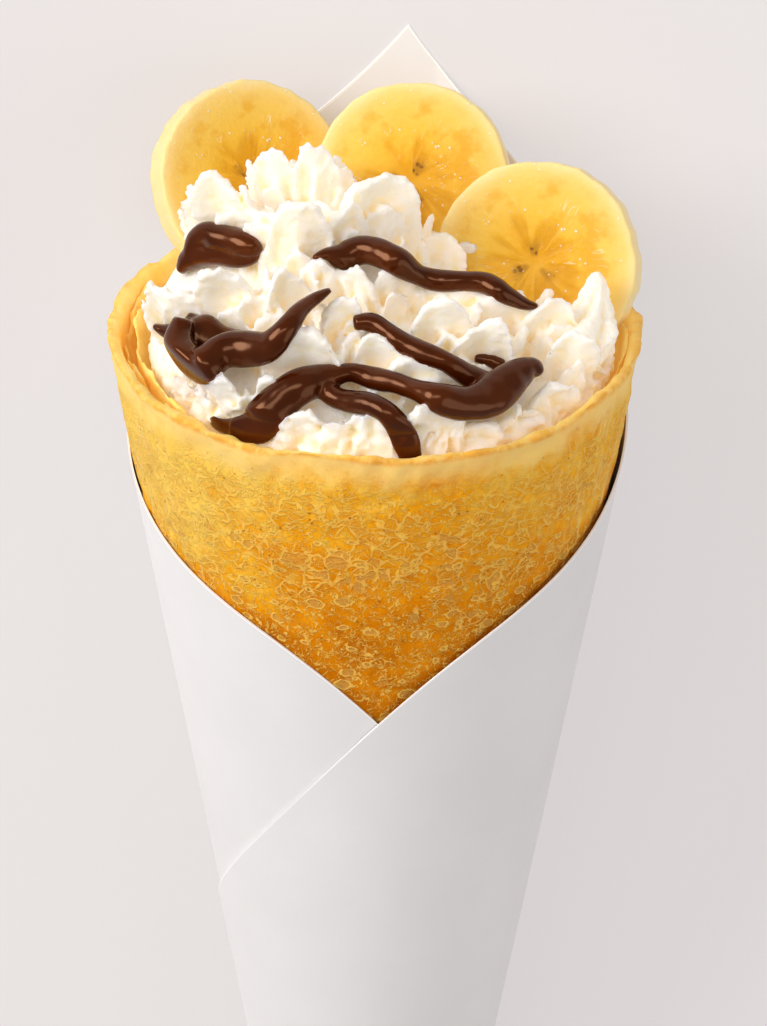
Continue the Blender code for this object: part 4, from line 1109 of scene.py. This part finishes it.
class Skin:
    """A material whose nodes are added and linked by short calls."""

    def __init__(self, name):
        self.made = bpy.data.materials.new(name)
        self.made.use_nodes = True
        self.nodes = self.made.node_tree.nodes
        self.links = self.made.node_tree.links
        self.shader = self.nodes["Principled BSDF"]

    def set(self, **values):
        """Plain values on the shader's own sockets."""
        for key, value in values.items():
            self.shader.inputs[key.replace("_", " ")].default_value = value

    def plug(self, value, socket):
        """Link a wire to a socket, or set the socket's own value."""
        if isinstance(value, Wire):
            self.links.new(value.socket, socket)
        else:
            socket.default_value = value

    def node(self, kind, **inputs):
        """A new node with some inputs set by name."""
        made = self.nodes.new("ShaderNode" + kind)
        for key, value in inputs.items():
            self.plug(value, made.inputs[key.replace("_", " ")])
        return made

    def wire(self, node, output=0):
        """One of a node's outputs."""
        return Wire(self, node.outputs[output])

    def math(self, operation, first, second=0.0, clamp=False):
        """A sum of one or two values."""
        node = self.node("Math")
        node.operation = operation
        node.use_clamp = clamp
        self.plug(first, node.inputs[0])
        self.plug(second, node.inputs[1])
        return self.wire(node)

    def largest(self, values):
        """The largest of several values at each place."""
        found = 0.0
        for value in values:
            found = self.math("MAXIMUM", found, value)
        return found

    def attribute(self, name, output="Fac"):
        """Numbers or vectors that the mesh carries."""
        node = self.node("Attribute")
        node.attribute_name = name
        return self.wire(node, output)

    def parts(self, vector):
        """The three parts of a vector."""
        node = self.node("SeparateXYZ", Vector=vector)
        return [Wire(self, socket) for socket in node.outputs]

    def place(self, vector, scale=(1.0, 1.0, 1.0), rotation=0.0):
        """Coordinates turned and stretched."""
        node = self.node("Mapping", Vector=vector, Scale=scale, Rotation=(0.0, 0.0, rotation))
        return self.wire(node)

    def object_place(self):
        """The piece's own coordinates, in metres."""
        return self.wire(self.node("TexCoord"), "Object")

    def noise(self, vector, scale, detail=3.0, rough=0.5, output="Fac"):
        """Smooth noise; the scale is its waves for each unit."""
        node = self.node("TexNoise", Vector=vector, Scale=scale, Detail=detail, Roughness=rough)
        return self.wire(node, output)

    def cells(self, vector, scale=1.0, feature="F1", output="Distance", dimensions="2D"):
        """Cells round scattered points."""
        node = self.node("TexVoronoi")
        node.voronoi_dimensions = dimensions
        node.feature = feature
        self.plug(scale, node.inputs["Scale"])
        self.plug(vector, node.inputs["Vector"])
        return self.wire(node, output)

    def chances(self, vector):
        """Two numbers that differ from cell to cell."""
        node = self.nodes.new("ShaderNodeSeparateColor")
        self.plug(self.cells(vector, output="Color"), node.inputs[0])
        return self.wire(node, 0), self.wire(node, 1)

    def ramp(self, value, stops):
        """Colours picked by a value."""
        node = self.node("ValToRGB")
        elements = node.color_ramp.elements
        while len(elements) < len(stops):
            elements.new(0.5)
        for element, (position, colour) in zip(elements, stops):
            element.position = position
            element.color = (*colour, 1.0)
        self.plug(value, node.inputs["Fac"])
        return self.wire(node, "Color")

    def span(self, value, low, high, to_low=0.0, to_high=1.0):
        """A smooth step from one value to another."""
        node = self.node("MapRange")
        node.interpolation_type = "SMOOTHSTEP"
        for key, number in (("From Min", low), ("From Max", high), ("To Min", to_low), ("To Max", to_high)):
            node.inputs[key].default_value = number
        self.plug(value, node.inputs["Value"])
        return self.wire(node, "Result")

    def mix(self, factor, first, second):
        """One colour laid over another."""
        node = self.node("Mix")
        node.data_type = "RGBA"
        colours = [socket for socket in node.inputs if socket.type == "RGBA"]
        for value, socket in zip((first, second), colours):
            self.plug((*value, 1.0) if isinstance(value, tuple) else value, socket)
        self.plug(factor, node.inputs[0])
        return Wire(self, next(socket for socket in node.outputs if socket.type == "RGBA"))

    def vectors(self, operation, first):
        """A vector sum that still lacks its second value."""
        node = self.node("VectorMath")
        node.operation = operation
        self.plug(first, node.inputs[0])
        return node

    def warp(self, vector, scale, detail, amount):
        """Coordinates pushed about by noise."""
        centred = self.vectors("SUBTRACT", self.noise(vector, scale, detail, output="Color"))
        centred.inputs[1].default_value = (0.5, 0.5, 0.5)
        scaled = self.vectors("SCALE", self.wire(centred))
        scaled.inputs["Scale"].default_value = amount
        added = self.vectors("ADD", vector)
        self.plug(self.wire(scaled), added.inputs[1])
        return self.wire(added)

    def bump(self, height, distance, strength, under=None):
        """Relief in the shading, over other relief."""
        node = self.node("Bump", Height=height, Distance=distance, Strength=strength)
        if under is not None:
            self.plug(under, node.inputs["Normal"])
        return self.wire(node)

    def colour(self, value):
        """The base colour."""
        self.plug(value, self.shader.inputs["Base Color"])

    def normal(self, value):
        """The relief of the whole surface."""
        self.plug(value, self.shader.inputs["Normal"])


def paper_skin():
    """White paper with fine fibres and a painted highlight along its cut edge."""
    skin = Skin("paper_white")
    place = skin.object_place()
    face = skin.ramp(skin.noise(place, 60.0, 4.0), PAPER_TONES)
    # Painted highlight along the cut edge
    skin.colour(skin.mix(skin.attribute("cut_highlight"), face, PAPER_CUT_HIGHLIGHT))
    fibres = skin.noise(place, 1600.0, 3.0, 0.6)
    dents = skin.bump(skin.noise(place, 90.0, 3.0), 0.0004, 0.25)
    skin.normal(skin.bump(fibres, 0.00006, 0.5, dents))
    skin.set(Roughness=0.68, Specular_IOR_Level=0.3)
    return skin.made


def crepe_browning_and_painted_light(skin, place, below, patch, mottle, grain):
    """The crepe's base colour: browning grows downwards in patches, less at the sides; painted light makes
    it paler to the left, and painted shadow darker along the paper's edge.
    """
    across = skin.parts(place)[0]
    browning_and_painted_light = skin.span(below, 3.0, 40.0, 0.22, 0.82)
    broad = skin.noise(place, 0.06, 3.0)
    for texture, amount in ((broad, 0.8), (patch, 1.0), (mottle, 0.60), (grain, 0.42)):
        browning_and_painted_light = browning_and_painted_light + (texture - 0.5) * amount
    sides = skin.span(abs(across), 24.0, 46.0)
    # Painted light: the browning is taken down towards the left, where the light falls
    browning_and_painted_light = browning_and_painted_light - sides * 0.08 - skin.span(across, -4.0, -34.0, 0.0, 0.42)
    # Painted shadow: darker just above the paper's edge, where the paper shades the crepe
    paper_edge_painted_shadow = skin.span(skin.attribute("above_paper"), 4.5, 0.2, 0.0, 0.34)
    base = skin.ramp(skin.math("ADD", browning_and_painted_light, paper_edge_painted_shadow, clamp=True), CREPE_TONES)
    # Streaks where the skin is stretched at the sides
    stretched = skin.noise(skin.place(place, (0.9, 0.11, 1.0), 0.12), 1.0, 3.0, 0.6)
    return skin.mix(skin.span(stretched, 0.50, 0.66) * (sides * 0.7), base, CREPE_STRETCHED)


def winding_lines(skin, place):
    """Short winding pale lines, at two sizes."""
    bent = skin.warp(place, 0.6, 1.0, 2.4)
    found = []
    for scale, turned, breadth in (((0.42, 0.62, 1.0), 0.2, 0.036), ((0.62, 0.95, 1.0), -0.4, 0.046)):
        winding = skin.noise(skin.place(bent, scale, turned), 1.0, 1.0)
        shown = skin.noise(skin.place(place, rotation=turned), 0.42, 2.0)
        found.append(skin.span(abs(winding - 0.5), breadth, 0.008) * skin.span(shown, 0.40, 0.52))
    return found


def lacy_net(skin, place, below):
    """Cells with uneven pale walls, painted shade just inside the walls, and the large net's thin cells."""
    swayed = skin.warp(place, 0.35, 1.5, 3.6)
    low = skin.span(below, 4.0, 12.0) * skin.span(below, 34.0, 18.0, 0.1, 1.0)
    zone = skin.noise(place, 0.17, 3.0) * 1.5 + low * 0.24
    breadth = skin.noise(place, 0.7, 2.0) * 0.20
    walls = []
    shades = []
    cells = []
    for scale, turned, limit, strength in CREPE_NETS:
        cell_place = skin.place(swayed, scale, turned)
        gap = skin.cells(cell_place, feature="DISTANCE_TO_EDGE")
        shown = skin.span(zone, limit, limit + 0.10)
        walls.append(skin.span(gap - breadth, 0.01, -0.06) * shown * strength)
        # Painted shade: darker just inside each cell's wall
        shades.append(skin.span(gap, 0.07, 0.14) * skin.span(gap, 0.42, 0.16) * shown)
        cells.append((cell_place, gap, shown))
    cell_place, gap, shown = cells[0]
    thin = skin.span(skin.chances(cell_place)[0], 0.82, 0.86) * shown * skin.span(gap, 0.06, 0.16)
    return walls, shades, thin


def oval_bubbles(skin, place, below):
    """Oval bubbles: the thin middle and the raised ring."""
    bubble_place = skin.place(skin.warp(place, 0.8, 1.0, 0.9), (0.24, 0.44, 1.0), 0.3)
    size_chance, pick_chance = skin.chances(bubble_place)
    size = size_chance * 0.38 * skin.span(below, 8.0, 28.0, 0.25, 1.0)
    picked = skin.span(pick_chance, 0.42, 0.46) * skin.span(size, 0.05, 0.09)
    edge = skin.cells(bubble_place) - size
    return skin.span(edge, 0.015, -0.03) * picked, skin.span(abs(edge), 0.085, 0.03) * picked


def crepe_skin():
    """Golden crepe: browner downwards, with a lacy net, bubbles, pits and a pale band at the rim, and
    painted shade, light and glow.
    """
    skin = Skin("crepe_golden")
    place = skin.attribute("unrolled", "Vector")
    below = skin.attribute("below_rim")
    inside = skin.attribute("inside")
    patch = skin.noise(place, 0.17, 4.0, 0.62)
    mottle = skin.noise(place, 0.55, 3.0, 0.6)
    grain = skin.noise(place, 2.6, 3.0, 0.65)
    colour = crepe_browning_and_painted_light(skin, place, below, patch, mottle, grain)
    walls, shades, thin = lacy_net(skin, place, below)
    hole, ring = oval_bubbles(skin, place, below)
    pale = skin.largest(winding_lines(skin, place) + walls + [ring]) * skin.span(below, 2.5, 8.0)
    tan = skin.math("MAXIMUM", thin, hole) * skin.span(below, 9.0, 17.0)
    tan = tan * skin.math("SUBTRACT", 0.85, pale, clamp=True)
    # Painted shade inside the net's walls
    colour = skin.mix(skin.largest(shades) * 0.24, colour, CREPE_SHADE)
    colour = skin.mix(tan * 0.85, colour, CREPE_THIN)
    colour = skin.mix(pale * 0.80, colour, CREPE_PALE)
    # Pits
    dots = skin.cells(skin.place(place, (0.40, 0.40, 1.0)))
    pit = skin.span(dots, 0.12, 0.06) * skin.span(skin.noise(place, 0.55, 1.0), 0.58, 0.64)
    colour = skin.mix(pit * 0.7, colour, CREPE_PIT)
    # The pale band under the rim, and the browner rim itself
    wander = below + (patch - 0.5) * 7.0
    colour = skin.mix(skin.span(wander, 7.0, 1.5, 0.0, 0.85), colour, CREPE_BAND)
    blush = skin.span(below, 1.4, 0.3) * skin.span(mottle, 0.35, 0.6, 0.25, 0.85)
    colour = skin.mix(blush, colour, CREPE_BLUSH)
    # Inner faces are plainer, and painted paler with a faint glow, standing in for light shining through
    # the thin crepe
    skin.colour(skin.mix(inside, colour, skin.ramp(patch, CREPE_INSIDE_PAINTED_LIGHT)))
    raised = (pale - tan * 0.5) * (1.0 - inside)
    waves = skin.bump(patch, 0.0008, 0.25, skin.bump(grain, 0.00016, 0.6))
    skin.normal(skin.bump(raised, 0.00028, 0.8, waves))
    # Painted glow on the inner faces
    skin.plug(inside * 0.10, skin.shader.inputs["Emission Strength"])
    skin.set(Roughness=0.55, Specular_IOR_Level=0.03, Subsurface_Weight=0.35, Subsurface_Scale=0.0025,
             Subsurface_Radius=(1.0, 0.55, 0.15), Emission_Color=(1.0, 0.52, 0.10, 1.0))
    return skin.made


def cream_skin():
    """Whipped cream, with painted warm shade in its hollows and a faint painted glow."""
    skin = Skin("cream_white")
    hollow = skin.span(skin.attribute("hollow"), -0.05, 0.60)
    # Painted shade in the hollows
    skin.colour(skin.ramp(hollow, CREAM_TONES_AND_HOLLOW_SHADE))
    place = skin.object_place()
    froth = skin.bump(skin.noise(place, 700.0, 4.0, 0.65), 0.0003, 0.55)
    skin.normal(skin.bump(skin.noise(place, 2300.0, 3.0, 0.6), 0.00012, 0.5, froth))
    # Painted glow: a faint warm emission lightens the cream's shade
    skin.set(Roughness=0.5, Specular_IOR_Level=0.15, Subsurface_Weight=0.85, Subsurface_Scale=0.003,
             Subsurface_Radius=(1.0, 0.85, 0.55), Emission_Color=(1.0, 0.78, 0.52, 1.0),
             Emission_Strength=0.11)
    return skin.made


def chocolate_skin():
    """Glossy dark sauce, lighter where it is thin."""
    skin = Skin("chocolate_dark")
    place = skin.object_place()
    colour = skin.ramp(skin.noise(place, 150.0, 2.0), CHOCOLATE_TONES)
    skin.colour(skin.mix(skin.attribute("thin") * 0.4, colour, CHOCOLATE_THIN))
    skin.normal(skin.bump(skin.noise(place, 160.0, 1.0), 0.0002, 0.08))
    skin.set(Roughness=0.18, Specular_IOR_Level=0.6, Specular_Tint=(1.0, 0.50, 0.27, 1.0))
    return skin.made


def banana_core(skin, place, seed, across, up, reach):
    """Three brown marks at the core, with dark seeds in them."""
    swing = (skin.noise(place, 3.0, 1.0) - 0.5) * 3.2 + seed
    folds = skin.math("COSINE", skin.math("ARCTAN2", up, across) * 3.0 + swing)
    smudge = folds + (skin.noise(place, 6.0, 2.0) - 0.5) * 1.6
    core = skin.span(reach, 0.04, 0.11) * skin.span(reach, 0.30, 0.14)
    near = skin.span(folds, 0.4, 0.7) * core * skin.span(skin.noise(place, 5.0, 1.0), 0.46, 0.54)
    dots = skin.cells(skin.place(place, (1.0, 1.0, 0.0)), 13.0)
    return skin.span(smudge, 0.1, 1.1) * core, skin.span(dots, 0.32, 0.20) * near


def banana_skin():
    """Cut banana: paler to the rim, with rays, clouds, fibres, a seeded core, wet specks painted pale as
    glints, and a faint painted glow.
    """
    skin = Skin("banana_flesh")
    place = skin.attribute("slice_place", "Vector")
    seed = skin.attribute("slice_seed")
    across, up, _ = skin.parts(place)
    reach = skin.math("SQRT", across * across + up * up)
    # The direction from the middle, which hardly changes along a radius
    aim = skin.wire(skin.node("CombineXYZ", X=across / reach, Y=up / reach, Z=seed + reach * 0.35))
    base = skin.ramp(reach + (skin.noise(place, 2.2, 3.0) - 0.5) * 0.14, BANANA_TONES)
    past = reach - (0.25 + skin.noise(aim, 2.6, 1.0) * 0.50)
    ray = skin.span(skin.noise(aim, 1.6, 2.0, 0.6), 0.43, 0.57) * skin.span(past, 0.03, -0.16)
    ray = ray * skin.span(reach, 0.05, 0.20)
    clouds = skin.span(skin.noise(place, 2.6, 3.0, 0.6), 0.44, 0.62) * skin.span(reach, 0.94, 0.70)
    colour = skin.mix(clouds * 0.62, base, BANANA_CLOUD)
    colour = skin.mix(ray * 0.72, colour, BANANA_RAY)
    # Pale fibres along the radii
    fibre = skin.span(abs(skin.noise(aim, 7.0, 1.0) - 0.5), 0.022, 0.004)
    fibre = fibre * skin.span(skin.noise(place, 4.5, 2.0), 0.52, 0.62)
    fibre = fibre * skin.span(reach, 0.14, 0.24) * skin.span(reach, 0.80, 0.60)
    colour = skin.mix(fibre * 0.7, colour, BANANA_FIBRE)
    mark, speck = banana_core(skin, place, seed, across, up, reach)
    colour = skin.mix(mark * 0.8, colour, BANANA_MARK)
    colour = skin.mix(speck * 0.85, colour, BANANA_SEED)
    # Wet specks: raised in the relief and painted pale as glints
    wet_bead_glint = skin.span(skin.cells(place, 13.0, dimensions="3D"), 0.20, 0.11)
    wet_bead_glint = wet_bead_glint * skin.span(skin.noise(place, 7.0, 1.0), 0.54, 0.60)
    skin.colour(skin.mix(wet_bead_glint * 0.8, colour, BANANA_BEAD_GLINT))
    relief = wet_bead_glint * 0.6 + fibre * 0.35 - speck * 0.8 - ray * 0.5
    wet = skin.bump(skin.noise(place, 18.0, 3.0), 0.0005, 0.3)
    skin.normal(skin.bump(relief, 0.0003, 0.7, wet))
    # Painted glow: a faint warm emission lightens the flesh's shaded sides
    skin.set(Roughness=0.30, Specular_IOR_Level=0.09, Subsurface_Weight=0.35, Subsurface_Scale=0.003,
             Subsurface_Radius=(1.0, 0.7, 0.2), Emission_Color=(1.0, 0.62, 0.16, 1.0),
             Emission_Strength=0.04)
    return skin.made


def floor_skin():
    """A lit table top: part of its brightness is its own, so that shadows on it stay faint."""
    skin = Skin("floor_pale")
    skin.set(Base_Color=(0.36, 0.340, 0.340, 1.0), Roughness=0.9, Specular_IOR_Level=0.1,
             Emission_Color=(1.0, 0.965, 0.955, 1.0), Emission_Strength=0.45)
    return skin.made


# Stage

def make_floor():
    """A wide flat table top."""
    mesh = bpy.data.meshes.new("floor")
    reach = FLOOR_REACH
    corners = [(-reach, -reach, 0.0), (reach, -reach, 0.0), (reach, reach, 0.0), (-reach, reach, 0.0)]
    mesh.from_pydata(corners, [], [(0, 1, 2, 3)])
    mesh.materials.append(floor_skin())
    item = bpy.data.objects.new("floor", mesh)
    bpy.context.scene.collection.objects.link(item)


def make_camera():
    """The camera at the sight point."""
    roll_cos = math.cos(SIGHT_ROLL)
    roll_sin = math.sin(SIGHT_ROLL)
    right = lay_direction(SIGHT_ACROSS * roll_cos + SIGHT_UP * roll_sin)
    above = lay_direction(SIGHT_UP * roll_cos - SIGHT_ACROSS * roll_sin)
    ahead = lay_direction(SIGHT_AHEAD)
    data = bpy.data.cameras.new("camera")
    data.sensor_fit = "AUTO"
    data.sensor_width = SENSOR_WIDTH
    data.lens = SIGHT_LENS
    data.clip_end = CAMERA_CLIP
    item = bpy.data.objects.new("camera", data)
    turned = Matrix((right, above, -ahead)).transposed().to_4x4()
    turned.translation = Vector(lay_down(tuple(SIGHT_POINT)))
    item.matrix_world = turned
    bpy.context.scene.collection.objects.link(item)
    bpy.context.scene.camera = item


def area_light(name, place, size, watts, colour):
    """A soft light turned to the mouth."""
    data = bpy.data.lights.new(name, "AREA")
    data.shape = "ELLIPSE"
    data.size, data.size_y = size
    data.energy = watts
    data.color = colour
    item = bpy.data.objects.new(name, data)
    item.location = place
    direction = Vector(LIGHT_TARGET) - Vector(place)
    item.rotation_euler = direction.to_track_quat("-Z", "Y").to_euler()
    bpy.context.scene.collection.objects.link(item)


def make_lights():
    """Soft lights in a pale room, and plain tones."""
    world = bpy.data.worlds.new("studio")
    world.use_nodes = True
    background = world.node_tree.nodes["Background"]
    background.inputs["Color"].default_value = WORLD_COLOUR
    background.inputs["Strength"].default_value = WORLD_STRENGTH
    bpy.context.scene.world = world
    for light in LIGHTS:
        area_light(*light)
    bpy.context.scene.view_settings.view_transform = "Standard"
    bpy.context.scene.view_settings.look = "None"


make_camera()
make_lights()
make_floor()
make_paper(paper_skin())
make_crepe(crepe_skin())
banana = banana_skin()
for number, slice_name in enumerate(BANANA_SLICES):
    make_slice(slice_name, 1.0 + number * 1.9, banana)

cream_surface = make_cream(cream_skin())
make_sauce(cream_surface, chocolate_skin())
